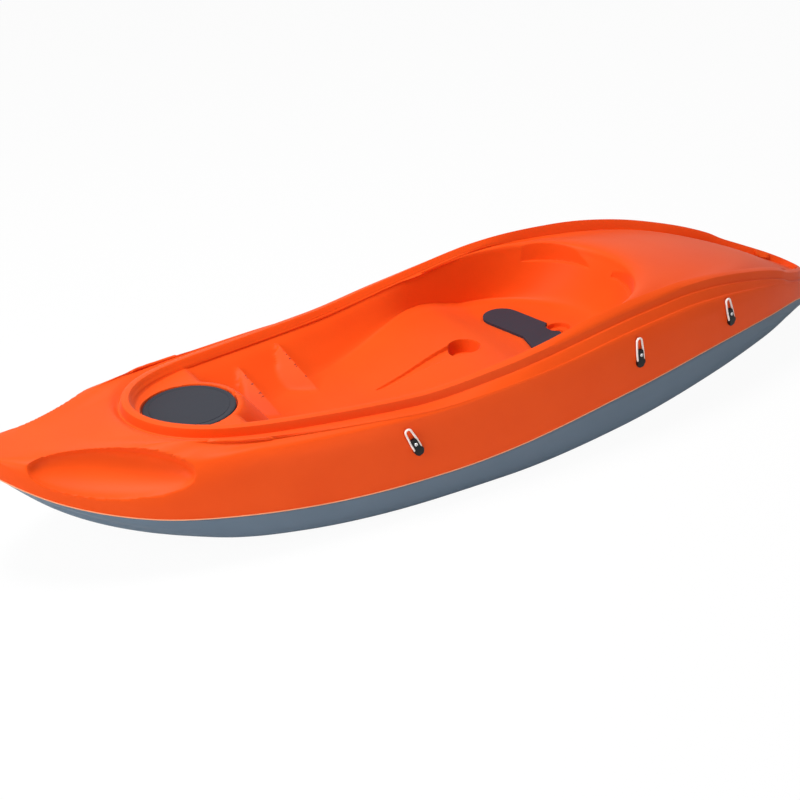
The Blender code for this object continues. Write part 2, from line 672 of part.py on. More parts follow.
# A rib under the hull: flat where the keel is flat, and fading into the hull at its ends
def strake(name, y, half_width, fore, aft):
    bm = bmesh.new()
    rows = []
    for x in np.linspace(aft * STRETCH, fore * STRETCH, 15):
        keel = float(along(KEEL_HEIGHT, x))
        from_end = min(x - aft * STRETCH, fore * STRETCH - x)
        depth = mixed(-STRAKE_SUNK, float(along(KEEL_HEIGHT, 0.0)), float(eased(0, STRAKE_FADE, from_end)))
        share = abs(y) / max(float(seam_width(x)), 0.01)
        top = keel + 0.003 + 0.10 * share * (float(along(CHINE_HEIGHT, x)) - keel)
        corners = ((-half_width, keel - depth), (half_width, keel - depth), (half_width + STRAKE_FLARE, top),
                   (-half_width - STRAKE_FLARE, top))
        rows.append([bm.verts.new((x, y + across, z)) for across, z in corners])
    for first, second in zip(rows, rows[1:]):
        for i in range(4):
            j = (i + 1) % 4
            bm.faces.new((first[i], first[j], second[j], second[i]))
    bm.faces.new(rows[0])
    bm.faces.new(rows[-1])
    return finished(name, bm)


def make_hull():
    outer = np.array(hull_rings())
    outer[-1, :, 2] -= SEAM_GAP
    top = lambda x, y: along(SEAM_HEIGHT, x) - SEAM_GAP
    obj = ring_solid("hull_shell", [*outer, centre_line(TIP - 0.02, 0.02 - TIP, top)])
    inside = outer[:-1] - HULL_WALL * normals(outer)[:-1]
    inside[0, :, 1] = 0
    below = lambda x, y: along(SEAM_HEIGHT, x) - SEAM_GAP - HULL_WALL
    over = lambda x, y: along(SEAM_HEIGHT, x) + 0.02
    core = ring_solid("hull_core", [
        *inside,
        seam_ring(HULL_WALL + 0.0015, below),
        seam_ring(FLANGE_WIDTH, below),
        seam_ring(FLANGE_WIDTH, over),
        centre_line(TIP - 0.04, 0.04 - TIP, over),
    ], CORE_SHORT)
    for tag, x in (("cup", CUP_X), ("seat", DRAIN_X)):
        collar = cylinder(f"{tag}_collar", (x, 0), PIPE_BORE + 2 * PIPE_WALL, 0.001, PIPE_FOOT - GAP, sides=16)
        combine(core, helper(collar), "DIFFERENCE", solver="MANIFOLD")
    combine(obj, helper(core), "DIFFERENCE", solver="MANIFOLD")
    for number, (y, half_width, fore, aft) in enumerate(STRAKES):
        combine(obj, helper(strake(f"strake_{number}", y, half_width, fore, aft)), "UNION", solver="MANIFOLD")
    for tag, x in (("cup", CUP_X), ("seat", DRAIN_X)):
        hole = cylinder(f"{tag}_hull_hole", (x, 0), PIPE_BORE, -0.02, PIPE_FOOT + 0.02, sides=16)
        combine(obj, helper(hole), "DIFFERENCE", solver="MANIFOLD")
    return obj


# Solid turned about its own Z from a closed profile of (radius, height) points
def turned(name, profile, place, sides=26):
    bm = bmesh.new()
    points = [bm.verts.new((radius, 0, height)) for radius, height in profile]
    edges = [bm.edges.new((a, b)) for a, b in zip(points, points[1:] + points[:1])]
    bmesh.ops.spin(
        bm, geom=points + edges, angle=2 * math.pi, steps=sides, axis=(0, 0, 1), cent=(0, 0, 0), use_merge=True
    )
    bmesh.ops.remove_doubles(bm, verts=bm.verts, dist=1e-6)
    bmesh.ops.dissolve_degenerate(bm, edges=bm.edges, dist=1e-7)
    loose = [edge for edge in bm.edges if not edge.link_faces]
    bmesh.ops.delete(bm, geom=loose, context="EDGES")
    obj = finished(name, bm)
    obj.matrix_world = place
    return obj


def hatch_screw_places():
    for number in range(HATCH_SCREWS):
        angle = (number + 0.5) * 2 * math.pi / HATCH_SCREWS
        yield HATCH_X + HATCH_SCREW_CIRCLE * math.cos(angle), HATCH_SCREW_CIRCLE * math.sin(angle)


def make_hatch(deck):
    place = Matrix.Translation((HATCH_X, 0, 0))
    inner = COLLAR_RADIUS - FRAME_COLLAR_WALL
    frame = turned("hatch_frame", (
        (inner, FRAME_TOP), (FRAME_FLANGE_RADIUS, FRAME_TOP), (FRAME_FLANGE_RADIUS, FRAME_SEAT),
        (COLLAR_RADIUS, FRAME_SEAT), (COLLAR_RADIUS, FRAME_SEAT - FRAME_COLLAR), (inner, FRAME_SEAT - FRAME_COLLAR),
    ), place)
    gasket_low = FRAME_TOP + GAP
    gasket_in = inner + 0.0005
    gasket = turned("hatch_gasket", (
        (gasket_in, gasket_low), (gasket_in + 0.3 * GASKET_WIDTH, gasket_low + GASKET_HEIGHT),
        (gasket_in + 0.7 * GASKET_WIDTH, gasket_low + GASKET_HEIGHT), (gasket_in + GASKET_WIDTH, gasket_low),
    ), place)
    skirt = inner - RUNNING_GAP
    top = LID_UNDERSIDE + LID_PLATE
    rim = HATCH_RADIUS - LID_SKIRT_WALL
    lid = turned("hatch_lid", (
        (0, top + LID_CROWN), (HATCH_RADIUS - 0.004, top), (HATCH_RADIUS, top - 0.003), (HATCH_RADIUS, FRAME_SEAT + 0.001),
        (rim, FRAME_SEAT + 0.001), (rim, LID_UNDERSIDE), (skirt, LID_UNDERSIDE), (skirt, LID_UNDERSIDE - LID_SKIRT),
        (skirt - LID_SKIRT_WALL, LID_UNDERSIDE - LID_SKIRT), (skirt - LID_SKIRT_WALL, LID_UNDERSIDE + 0.001),
        (0, LID_UNDERSIDE + 0.001),
    ), place)
    lid_origin = Matrix.Translation((HATCH_X, 0, LID_UNDERSIDE))
    lid.data.transform(lid_origin.inverted() @ place)
    lid.matrix_world = lid_origin
    screws = []
    for number, (x, y) in enumerate(hatch_screw_places(), start=1):
        screws.append(hatch_screw(f"hatch_screw_{number}", x, y))
        hole = cylinder(f"hatch_screw_hole_{number}", (x, y), HATCH_SCREW_RADIUS + GAP, RECESS_FLOOR - 0.008,
                        FRAME_TOP + 0.002, sides=6)
        combine(frame, helper(hole), "DIFFERENCE", solver="MANIFOLD")
        combine(deck, hole, "DIFFERENCE", solver="MANIFOLD")
    return frame, gasket, lid, screws


def hatch_screw(name, x, y):
    radius, height = HATCH_SCREW_HEAD
    head = FRAME_TOP + GAP
    return turned(name, (
        (0, head + height), (0.6 * radius, head + height), (radius, head + 0.4 * height), (radius, head),
        (HATCH_SCREW_RADIUS, head), (HATCH_SCREW_RADIUS, head - HATCH_SCREW_LENGTH + 0.002),
        (0, head - HATCH_SCREW_LENGTH),
    ), Matrix.Translation((x, y, 0)), sides=6)


# The pad's outline: two round ends joined by straight sides
def pad_outline(grow):
    half_width = PAD_HALF_WIDTH + grow
    straight = PAD_HALF_LENGTH - PAD_HALF_WIDTH
    outline = []
    for turn in np.linspace(0, 2 * math.pi, 29)[:-1]:
        end = 1 if turn < math.pi else -1
        x = PAD_CENTRE + half_width * math.cos(turn)
        y = end * straight + half_width * math.sin(turn)
        outline.append((x, y))
    return outline


def pad_recess(name, wall):
    outline = pad_outline(PAD_MARGIN + wall)
    low = PAD_FLOOR - wall
    return prism(name, [(x, y, low) for x, y in outline], [(x, y, low + 0.06) for x, y in outline])


# Pad glued to the seat's floor, bitten by the drain recess
def make_seat_pad():
    low = PAD_FLOOR + GAP
    top = low + PAD_THICKNESS
    bm = bmesh.new()
    face = bm.faces.new([bm.verts.new((x, y, low)) for x, y in pad_outline(0)])
    grown = bmesh.ops.extrude_face_region(bm, geom=[face])
    risen = [item for item in grown["geom"] if isinstance(item, bmesh.types.BMVert)]
    bmesh.ops.translate(bm, verts=risen, vec=(0, 0, PAD_THICKNESS))
    upper = [edge for edge in bm.edges if all(vert in risen for vert in edge.verts)]
    bmesh.ops.bevel(bm, geom=upper, offset=PAD_EDGE, segments=2, profile=0.5, affect="EDGES")
    pad = finished("seat_pad", bm)
    bite = cylinder("pad_bite", (DRAIN_X, 0), DRAIN_RADIUS + PAD_HOLE_MARGIN, low - 0.01, top + 0.01)
    combine(pad, helper(bite), "DIFFERENCE")
    return pad


# Foam between the hull's bottom and the floor's underside
def foam_block(name, fore, aft, half_width):
    places = np.linspace(aft, fore, 9)
    high = min(PAD_FLOOR, *(float(along(FLOOR_HEIGHT, x)) for x in places)) - DECK_WALL - GAP
    reach = [float(mixed(along(KEEL_HEIGHT, x), along(CHINE_HEIGHT, x), 0.12 * half_width / (0.45 * seam_width(x))))
             for x in places]
    low = max(reach) + HULL_WALL + FOAM_MARGIN
    bm = bmesh.new()
    bmesh.ops.create_cube(bm, size=1)
    middle = ((fore + aft) / 2, 0, (low + high) / 2)
    bm.transform(Matrix.Translation(middle) @ Matrix.Diagonal((fore - aft, 2 * half_width, high - low, 1)))
    bmesh.ops.bevel(bm, geom=[edge for edge in bm.edges if abs((edge.verts[0].co - edge.verts[1].co).z) > 0.01],
                    offset=FOAM_CORNER, segments=2, profile=0.5, affect="EDGES")
    return finished(name, bm)


# Point on the port side at this place and height, with the surface's outward normal
def on_side(x, height):
    def point(x, height):
        rings = deck_rings()[:6]
        y = [float(np.interp(-x, -row[:, 0], row[:, 1])) for row in rings]
        z = [float(np.interp(-x, -row[:, 0], row[:, 2])) for row in rings]
        return Vector((x, float(np.interp(height, z, y)), height))

    reach = 0.012
    fore = point(x + reach, height)
    aft = point(x - reach, height)
    upper = point(x, height + reach)
    lower = point(x, height - reach)
    normal = (aft - fore).cross(upper - lower).normalized()
    return point(x, height), normal if normal.y > 0 else -normal


def mirrored(vector, side):
    return Vector((vector.x, side * vector.y, vector.z))


# Places the fitting: local X toward the loop's end, local Z out from the side, origin where the screw goes in
def fitting_place(x, height, angle, side):
    point, normal = on_side(x, height)
    lean = Vector((math.cos(angle), 0, math.sin(angle)))
    return axes(mirrored(point + FITTING_LIFT * normal, side), mirrored(lean - lean.dot(normal) * normal, side),
                mirrored(normal, side))


# Box that stands on z = 0 and ends at this place along X, with its upright and upper edges rounded
def rounded_box(name, size, fore, radius):
    bm = bmesh.new()
    bmesh.ops.create_cube(bm, size=1)
    bm.transform(Matrix.Translation((fore - size[0] / 2, 0, size[2] / 2)) @ Matrix.Diagonal((*size, 1)))
    upright = [edge for edge in bm.edges if abs(edge.verts[0].co.z - edge.verts[1].co.z) > size[2] / 2]
    bmesh.ops.bevel(bm, geom=upright, offset=radius, segments=2, profile=0.5, affect="EDGES")
    top = [edge for edge in bm.edges if min(vert.co.z for vert in edge.verts) > size[2] - 1e-5]
    bmesh.ops.bevel(bm, geom=top, offset=radius / 2, segments=1, profile=0.5, affect="EDGES")
    return finished(name, bm)


def local_cylinder(name, radius, low, high, place, sides=16):
    obj = cylinder(name, (0, 0), radius, low, high, sides=sides)
    obj.matrix_world = place
    return obj


def make_fitting(deck, name, x, height, angle, side):
    place = fitting_place(x, height, angle, side)
    thick = FITTING_BODY[2]
    body = rounded_box(f"{name}_body", FITTING_BODY, FITTING_BODY_FORE, FITTING_RADIUS * 2)
    body.matrix_world = place
    cord_height = 0.55 * thick
    socket_end = FITTING_BODY_FORE - CORD_SOCKET
    for leg in (-1, 1):
        bm = bmesh.new()
        middle = Matrix.Translation((socket_end + (CORD_SOCKET + CUT_PAST) / 2, leg * CORD_HALF_GAP, cord_height))
        bmesh.ops.create_cone(bm, cap_ends=True, segments=8, radius1=CORD_RADIUS + GAP, radius2=CORD_RADIUS + GAP,
                              depth=CORD_SOCKET + CUT_PAST, matrix=middle @ Matrix.Rotation(math.pi / 2, 4, "Y"))
        socket = finished(f"{name}_socket_{leg}", bm)
        socket.matrix_world = place
        combine(body, helper(socket), "DIFFERENCE", solver="MANIFOLD")
    bore = local_cylinder(f"{name}_bore", FITTING_SCREW_RADIUS + GAP, -0.01, thick + 0.01, place, 8)
    combine(body, helper(bore), "DIFFERENCE", solver="MANIFOLD")
    loop = cord_loop(f"{name}_loop", socket_end + GAP, LOOP_REACH, cord_height, place)
    radius, head = FITTING_SCREW_HEAD
    seat = thick + GAP
    screw = turned(f"{name}_screw", (
        (0, seat + head), (0.6 * radius, seat + head), (radius, seat + 0.4 * head), (radius, seat),
        (FITTING_SCREW_RADIUS, seat), (FITTING_SCREW_RADIUS, seat - FITTING_SCREW_LENGTH),
        (0, seat - FITTING_SCREW_LENGTH),
    ), place, sides=8)
    hole = local_cylinder(f"{name}_hole", FITTING_SCREW_RADIUS + GAP, -0.03, 0.01, place, 8)
    combine(deck, helper(hole), "DIFFERENCE", solver="MANIFOLD")
    behind = -FITTING_LIFT - DECK_WALL - INSERT_GAP
    bore_radius = FITTING_SCREW_RADIUS + GAP
    insert = turned(f"{name}_insert", (
        (bore_radius, behind), (INSERT_HEAD[0], behind), (INSERT_HEAD[0], behind - INSERT_HEAD[1]),
        (INSERT_RADIUS, behind - INSERT_HEAD[1]), (INSERT_RADIUS, behind - INSERT_LENGTH),
        (bore_radius, behind - INSERT_LENGTH),
    ), place, sides=8)
    return body, loop, screw, insert


# Cord loop: two legs out of the body that part a little and meet in a round end
def cord_loop(name, start, end, height, place):
    half = CORD_HALF_GAP
    bend = half * 1.25
    knee = end - bend
    points = [(start, -half, height)]
    points += [(start + share * (knee - start), -mixed(half, bend, share**2), height) for share in (0.35, 0.7)]
    points += [(knee + bend * math.sin(turn), -bend * math.cos(turn), height) for turn in np.linspace(0, math.pi, 7)]
    points += [(x, -y, z) for x, y, z in reversed(points[:3])]
    curve = bpy.data.curves.new(name, "CURVE")
    curve.dimensions = "3D"
    spline = curve.splines.new("POLY")
    spline.points.add(len(points) - 1)
    for item, point in zip(spline.points, points):
        item.co = (*point, 1)
    curve.bevel_depth = CORD_RADIUS
    curve.bevel_resolution = 1
    curve.use_fill_caps = True
    obj = bpy.data.objects.new(name, curve)
    bpy.context.scene.collection.objects.link(obj)
    obj.matrix_world = place
    return obj


def make_drain_bung(deck):
    point, normal = on_side(BUNG_X, BUNG_HEIGHT)
    place = axes(mirrored(point - (BUNG_SEAT_DEPTH - GAP) * normal, -1), (1, 0, 0), mirrored(normal, -1))
    bore = BUNG_THREAD_RADIUS + RUNNING_GAP
    outside = bore + BUNG_BUSH_WALL
    bush = turned("drain_bush", (
        (bore, BUNG_FLANGE), (BUNG_FLANGE_RADIUS - 0.001, BUNG_FLANGE), (BUNG_FLANGE_RADIUS, BUNG_FLANGE - 0.001),
        (BUNG_FLANGE_RADIUS, 0), (outside, 0), (outside, -BUNG_BUSH_LENGTH), (bore, -BUNG_BUSH_LENGTH),
    ), place, sides=16)
    seat = local_cylinder("drain_seat", BUNG_FLANGE_RADIUS + 0.001, -GAP, CUT_PAST, place, 16)
    combine(deck, helper(seat), "DIFFERENCE", solver="MANIFOLD")
    hole = local_cylinder("drain_hole", outside + GAP, -BUNG_BUSH_LENGTH - CUT_PAST, CUT_PAST, place, 16)
    combine(deck, helper(hole), "DIFFERENCE", solver="MANIFOLD")
    seal_low = BUNG_FLANGE + GAP
    seal_radius, seal_height = BUNG_SEAL
    seal = turned("drain_seal", (
        (BUNG_THREAD_RADIUS + 0.0004, seal_low), (BUNG_THREAD_RADIUS + 0.0004, seal_low + seal_height),
        (seal_radius, seal_low + seal_height), (seal_radius, seal_low),
    ), place, sides=16)
    head_low = seal_low + seal_height + GAP
    head_radius, head = BUNG_HEAD
    bung = turned("drain_bung", (
        (0, head_low + 0.4 * head), (0.45 * head_radius, head_low + 0.4 * head), (0.55 * head_radius, head_low + head),
        (head_radius - 0.001, head_low + head), (head_radius, head_low + head - 0.001), (head_radius, head_low),
        (BUNG_THREAD_RADIUS, head_low), (BUNG_THREAD_RADIUS, 0.002 - BUNG_BUSH_LENGTH), (0, -BUNG_BUSH_LENGTH),
    ), place, sides=16)
    return bush, seal, bung


def clear_scene():
    for obj in list(bpy.data.objects):
        bpy.data.objects.remove(obj, do_unlink=True)


def main():
    clear_scene()
    orange = material("orange polyethylene", (0.86, 0.10, 0.02), 0.45)
    grey = material("grey polyethylene", (0.11, 0.16, 0.20), 0.50)
    dark = material("dark nylon", (0.028, 0.034, 0.050), 0.45)
    foam = material("seat foam", (0.055, 0.050, 0.060), 0.90)
    pale_foam = material("float foam", (0.70, 0.70, 0.68), 0.95)
    rubber = material("black rubber", (0.012, 0.012, 0.013), 0.80)
    steel = material("stainless steel", (0.60, 0.60, 0.60), 0.30, 1.0)
    cord = material("pale cord", (0.82, 0.76, 0.74), 0.85)
    deck = make_deck()
    hull = make_hull()
    frame, gasket, lid, screws = make_hatch(deck)
    pad = make_seat_pad()
    blocks = [foam_block("footwell_foam", *FOOTWELL_BLOCK), foam_block("seat_foam", *SEAT_BLOCK)]
    bush, seal, bung = make_drain_bung(deck)
    looks = {deck: orange, hull: grey, frame: dark, gasket: rubber, lid: dark, pad: foam, bush: dark, seal: rubber,
             bung: dark}
    looks.update({block: pale_foam for block in blocks})
    looks.update({screw: steel for screw in screws})
    for side, word in ((1, "port"), (-1, "starboard")):
        for name, x, height, angle in FITTINGS:
            body, loop, screw, insert = make_fitting(deck, f"{word}_{name}_fitting", x * STRETCH, height, angle, side)
            looks.update({body: dark, loop: cord, screw: steel, insert: dark})
    for obj, look in looks.items():
        obj.data.materials.append(look)


main()
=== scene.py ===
import json
import math

import bmesh
import bpy
import numpy as np
from mathutils import Matrix, Vector


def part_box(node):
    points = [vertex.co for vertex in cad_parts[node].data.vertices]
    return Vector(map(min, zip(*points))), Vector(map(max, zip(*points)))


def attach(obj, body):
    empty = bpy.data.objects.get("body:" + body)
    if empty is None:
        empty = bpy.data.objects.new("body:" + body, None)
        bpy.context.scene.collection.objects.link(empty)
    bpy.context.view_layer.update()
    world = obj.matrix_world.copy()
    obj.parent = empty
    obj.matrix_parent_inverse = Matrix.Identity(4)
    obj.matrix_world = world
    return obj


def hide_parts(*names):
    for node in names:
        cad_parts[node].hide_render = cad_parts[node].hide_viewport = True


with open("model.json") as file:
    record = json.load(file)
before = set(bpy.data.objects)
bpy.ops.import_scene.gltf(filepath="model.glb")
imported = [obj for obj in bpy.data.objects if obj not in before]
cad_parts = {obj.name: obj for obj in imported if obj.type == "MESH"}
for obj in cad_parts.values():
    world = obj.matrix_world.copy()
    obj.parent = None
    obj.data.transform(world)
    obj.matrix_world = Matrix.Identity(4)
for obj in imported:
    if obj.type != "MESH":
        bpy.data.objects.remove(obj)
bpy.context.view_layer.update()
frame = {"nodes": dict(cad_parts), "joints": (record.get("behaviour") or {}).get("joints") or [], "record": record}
nodes = frame["nodes"]
print("frame loaded:", len(nodes), "nodes")

# The kayak's outline in metres: +X is the bow, +Y port, z = 0 the plane under the keel.
# Each curve is (place along the kayak, value), and the solids have the same ones.
outline = {
    "length": 2.68, "beam": 0.79,
    "bow": (2.5, 0.60), "stern": (2.3, 0.66),
    "seamHeight": ((-1.34, 0.076), (-1.2, 0.146), (-1.0, 0.177), (-0.8, 0.185), (-0.4, 0.158), (0.0, 0.112),
                   (0.2, 0.104), (0.4, 0.106), (0.8, 0.137), (1.0, 0.168), (1.2, 0.232), (1.34, 0.304)),
    "gunwaleWidth": ((-1.34, 0.080), (-1.1, 0.183), (-0.9, 0.246), (-0.6, 0.306), (-0.3, 0.343), (-0.1, 0.351),
                     (0.2, 0.332), (0.6, 0.268), (0.8, 0.240), (0.93, 0.220)),
    "gunwaleWidest": 0.90, "shoulderWidest": 0.97, "foredeckBlend": (0.72, 0.96), "foredeckSquareness": 8,
    "gunwaleHeight": ((-1.34, 0.160), (-1.28, 0.196), (-1.2, 0.231), (-1.13, 0.262), (-1.1, 0.280), (-0.9, 0.349),
                      (-0.75, 0.380), (-0.6, 0.391), (-0.4, 0.386), (0.0, 0.342), (0.25, 0.321), (0.6, 0.330),
                      (0.93, 0.350)),
    "crestRise": ((-1.34, 0.0), (-1.1, 0.001), (-0.8, 0.003), (-0.5, 0.012), (-0.33, 0.014), (-0.15, 0.007),
                  (0.0, 0.003), (0.25, 0.001), (0.93, 0.001)),
    "shoulderOffset": ((-1.34, 0.012), (-0.9, 0.022), (-0.05, 0.030), (0.36, 0.045), (0.72, 0.049), (0.93, 0.047)),
    "shoulderDrop": ((-1.34, 0.016), (-1.1, 0.036), (-0.9, 0.048), (-0.7, 0.052), (-0.3, 0.052), (0.0, 0.042),
                     (0.36, 0.024), (0.72, 0.020), (0.93, 0.016)),
    "deckEdge": ((-1.34, 0.152), (-1.2, 0.210), (-1.1, 0.252), (-0.9, 0.326), (-0.74, 0.356), (-0.53, 0.371),
                 (-0.4, 0.371)),
    "deckCentre": ((-1.34, 0.160), (-1.25, 0.206), (-1.0, 0.312), (-0.8, 0.360), (-0.64, 0.372), (-0.4, 0.372)),
    "foredeck": ((0.9, 0.349), (1.1, 0.341), (1.2, 0.344), (1.34, 0.347)),
    "floorWidth": ((-0.52, 0.265), (-0.3, 0.310), (-0.14, 0.313), (0.02, 0.268), (0.17, 0.215), (0.33, 0.155),
                   (0.49, 0.100), (0.56, 0.090)),
    "floorHeight": ((-0.52, 0.214), (-0.45, 0.210), (-0.28, 0.211), (-0.23, 0.221), (-0.16, 0.2395), (-0.099, 0.243),
                    (-0.05, 0.240), (0.0, 0.231), (0.1, 0.206), (0.2, 0.188), (0.25, 0.184), (0.56, 0.182)),
    "chine": ((-1.34, 0.062), (-1.2, 0.088), (-1.0, 0.087), (-0.8, 0.075), (-0.4, 0.036), (0.0, 0.012), (0.2, 0.012),
              (0.4, 0.016), (0.6, 0.030), (0.8, 0.058), (1.0, 0.122), (1.2, 0.210), (1.34, 0.298)),
    "keel": ((-1.34, 0.056), (-1.2, 0.066), (-0.8, 0.040), (-0.35, 0.007), (0.35, 0.007), (0.8, 0.038),
             (1.0, 0.082), (1.2, 0.172), (1.34, 0.292)),
}
tip = outline["length"] / 2

# how far out and how far down from the gunwale line the lip's corners and the notch outside it lie
lip = {"outer": (0.002, 0.002), "inner": -0.017, "foot": (-0.024, 0.012), "notchIn": (0.006, 0.026),
       "notchOut": (0.012, 0.028), "shoulderShare": 0.93, "front": 0.922}
# the side's rows: inset at the bow and at the stern, share out to the seam, share up to the shoulder, squareness
sideRows = ((0.0015, 0.0015, 0.99, 0.12, 60.0), (0.006, 0.004, 0.94, 0.40, 40.0), (0.018, 0.008, 0.76, 0.72, 24.0),
            (0.080, 0.012, 0.46, 0.90, 8.0), (0.220, 0.016, 0.18, 0.975, 5.0))
# the cockpit tub: its wall's rows are (share of the way in from the rim to the floor, share of the way up)
tub = {"fore": 0.900, "aft": -0.638, "floorFore": 0.560, "floorAft": -0.515, "rimInset": 0.030, "rimDrop": 0.030,
       "floorMargin": 0.050, "wallRows": ((0.00, 1.00), (0.12, 0.86), (0.45, 0.42), (0.78, 0.10), (0.97, 0.03))}
# how both shells are made: an edge longer than splitAt times the wanted length is split in two, in each pass
shells = {"stations": 200, "rowLength": 0.013, "leastRows": 3, "wall": 0.004, "passes": 3, "splitAt": 1.45,
          "merge": 3e-5}
# the grid's size in metres where the shells are plain, and at each kind of fine form
grid = {"plain": 0.05, "rim": 0.0025, "edge": 0.003, "crest": 0.0024, "ramp": 0.009, "grip": 0.006, "rib": 0.006}


# a smooth curve through the points that never overshoots them
def along(points, x):
    places, values = np.array(points, float).T
    steps = np.diff(places)
    slopes = np.diff(values) / steps
    tangents = np.concatenate([slopes[:1], (slopes[:-1] + slopes[1:]) / 2, slopes[-1:]])
    tangents[1:-1][slopes[:-1] * slopes[1:] <= 0] = 0
    before, after = np.concatenate([slopes[:1], slopes]), np.concatenate([slopes, slopes[-1:]])
    limit = 3 * np.minimum(abs(before), abs(after))
    tangents = np.clip(tangents, -limit, limit)
    x = np.clip(np.asarray(x, float), places[0], places[-1])
    i = np.clip(np.searchsorted(places, x, side="right") - 1, 0, len(steps) - 1)
    t = (x - places[i]) / steps[i]
    start = values[i] * (1 + 2 * t) * (1 - t) ** 2 + tangents[i] * steps[i] * t * (1 - t) ** 2
    return start + values[i + 1] * t * t * (3 - 2 * t) + tangents[i + 1] * steps[i] * t * t * (t - 1)


def curve(name, x):
    return along(outline[name], x)


def eased(low, high, x):
    t = np.clip((np.asarray(x, float) - low) / (high - low), 0, 1)
    return t * t * (3 - 2 * t)


def mixed(a, b, share):
    return a + (b - a) * share


# the higher or the lower of two heights, with a fillet where they meet
def higher(a, b, fillet):
    share = np.clip(0.5 + 0.5 * (a - b) / fillet, 0, 1)
    return mixed(b, a, share) + fillet * share * (1 - share)


def lower(a, b, fillet):
    return -higher(-a, -b, fillet)


def seamWidth(x):
    share = np.clip(abs(x) / tip, 0, 1)
    bow = (1 - share ** outline["bow"][0]) ** outline["bow"][1]
    stern = (1 - share ** outline["stern"][0]) ** outline["stern"][1]
    return outline["beam"] / 2 * np.where(x > 0, bow, stern)


# one ring round the kayak: turn is 0 at the bow and pi at the stern
def ring(fore, aft, width, height, forePower=4.0, aftPower=4.0):
    def points(turn):
        share = np.cos(turn)
        x = (fore + aft) / 2 + (fore - aft) / 2 * share
        power = np.where(share > 0, forePower, aftPower)
        y = width(x) * np.sqrt(np.clip(1 - abs(share) ** power, 0, 1))
        return np.stack([x, y, height(x, y)], axis=-1)
    return points


def seamRing(inset, height):
    def points(turn):
        x = (tip - inset) * np.cos(turn)
        y = np.clip(seamWidth(x / (1 - inset / tip)) - inset, 0, None)
        return np.stack([x, y, height(x, y)], axis=-1)
    return points


def centreLine(fore, aft, height):
    return ring(fore, aft, lambda x: 0 * x, height)


def gunwaleWidth(x):
    return np.minimum(curve("gunwaleWidth", x), outline["gunwaleWidest"] * seamWidth(x))


def crestHeight(x):
    return curve("gunwaleHeight", x) + curve("crestRise", x)


def sideRing(fore, aft, out, up, power=4.0):
    def width(x):
        widest = outline["shoulderWidest"] * seamWidth(x)
        shoulder = np.minimum(gunwaleWidth(x) + curve("shoulderOffset", x), widest)
        return mixed(shoulder, seamWidth(x), out)

    def height(x, y):
        seam = curve("seamHeight", x)
        amidships = mixed(seam, curve("gunwaleHeight", x) - curve("shoulderDrop", x), up)
        across = np.clip(y / np.maximum(seamWidth(x), 1e-4), 0, 1)
        crown = seam + (curve("foredeck", x) - seam) * np.sqrt(1 - across ** outline["foredeckSquareness"])
        return mixed(amidships, crown, eased(*outline["foredeckBlend"], x))

    return ring(fore, aft, width, height, power, 60.0)


def lipRing(fore, aft, offset, height):
    def width(x):
        out = offset(x) if callable(offset) else offset
        return np.maximum(gunwaleWidth(x) + out * eased(-tip, 0.1 - tip, x), 0)
    return ring(fore, aft, width, height, 9.0, 30.0)


# 0 on the aft deck, 1 beside the cockpit
def cockpitShare(x):
    return eased(-0.50, -0.36, x)


def innerHeight(drop):
    def height(x, y):
        across = np.clip(y / np.maximum(gunwaleWidth(x), 0.02), 0, 1)
        deck = mixed(curve("deckCentre", x), curve("deckEdge", x), across ** 2)
        return mixed(deck, crestHeight(x) - drop, cockpitShare(x))
    return height


def tubRing(share, up):
    fore, aft = mixed(tub["fore"], tub["floorFore"], share), mixed(tub["aft"], tub["floorAft"], share)

    def width(x):
        return mixed(gunwaleWidth(x) - tub["rimInset"], curve("floorWidth", x), share)

    def height(x, y):
        return mixed(curve("floorHeight", x), innerHeight(tub["rimDrop"])(x, y), up)

    return ring(fore, aft, width, height, 6.0, 6.0)


# Each ring comes with how much of a corner it is: 0 is smooth, 1 is a sharp corner.
def deckRings():
    def seam(x, y):
        return curve("seamHeight", x)

    def floor(x, y):
        return curve("floorHeight", x)

    def below(drop):
        return lambda x, y: curve("gunwaleHeight", x) - drop

    def shoulder(x, y):
        return curve("gunwaleHeight", x) - curve("shoulderDrop", x)

    def shoulderOut(x):
        return lip["shoulderShare"] * curve("shoulderOffset", x)

    def foot(x, y):
        return mixed(curve("deckEdge", x), crestHeight(x) - lip["foot"][1], cockpitShare(x))

    def innerWidth(inset):
        return lambda x: gunwaleWidth(x) - inset

    front = lip["front"]
    return [
        (seamRing(0, seam), 0),
        *((sideRing(tip - fore, aft - tip, out, up, power), 0) for fore, aft, out, up, power in sideRows),
        (lipRing(front + 0.042, 0.021 - tip, shoulderOut, shoulder), 0.2),
        (lipRing(front + 0.026, 0.024 - tip, lip["notchOut"][0], below(lip["notchOut"][1])), 0.6),
        (lipRing(front + 0.019, 0.027 - tip, lip["notchIn"][0], below(lip["notchIn"][1])), 0.6),
        (lipRing(front + 0.014, 0.030 - tip, lip["outer"][0], below(lip["outer"][1])), 0.5),
        (lipRing(front - 0.006, 0.044 - tip, lip["inner"], lambda x, y: crestHeight(x)), 0.5),
        (lipRing(front - 0.012, 0.054 - tip, lip["foot"][0], foot), 0.5),
        (ring(front - 0.015, 0.26 - tip, innerWidth(0.027), innerHeight(0.018), 8.0, 6.0), 0),
        (ring(front - 0.018, 0.54 - tip, innerWidth(0.030), innerHeight(0.024), 7.0, 6.0), 0),
        *((tubRing(share, up), 0) for share, up in tub["wallRows"]),
        (ring(tub["floorFore"] - 0.025, tub["floorAft"] + 0.04,
              lambda x: curve("floorWidth", x) - tub["floorMargin"], floor), 0),
        (centreLine(tub["floorFore"] - 0.05, tub["floorAft"] + 0.08, floor), 0),
    ]


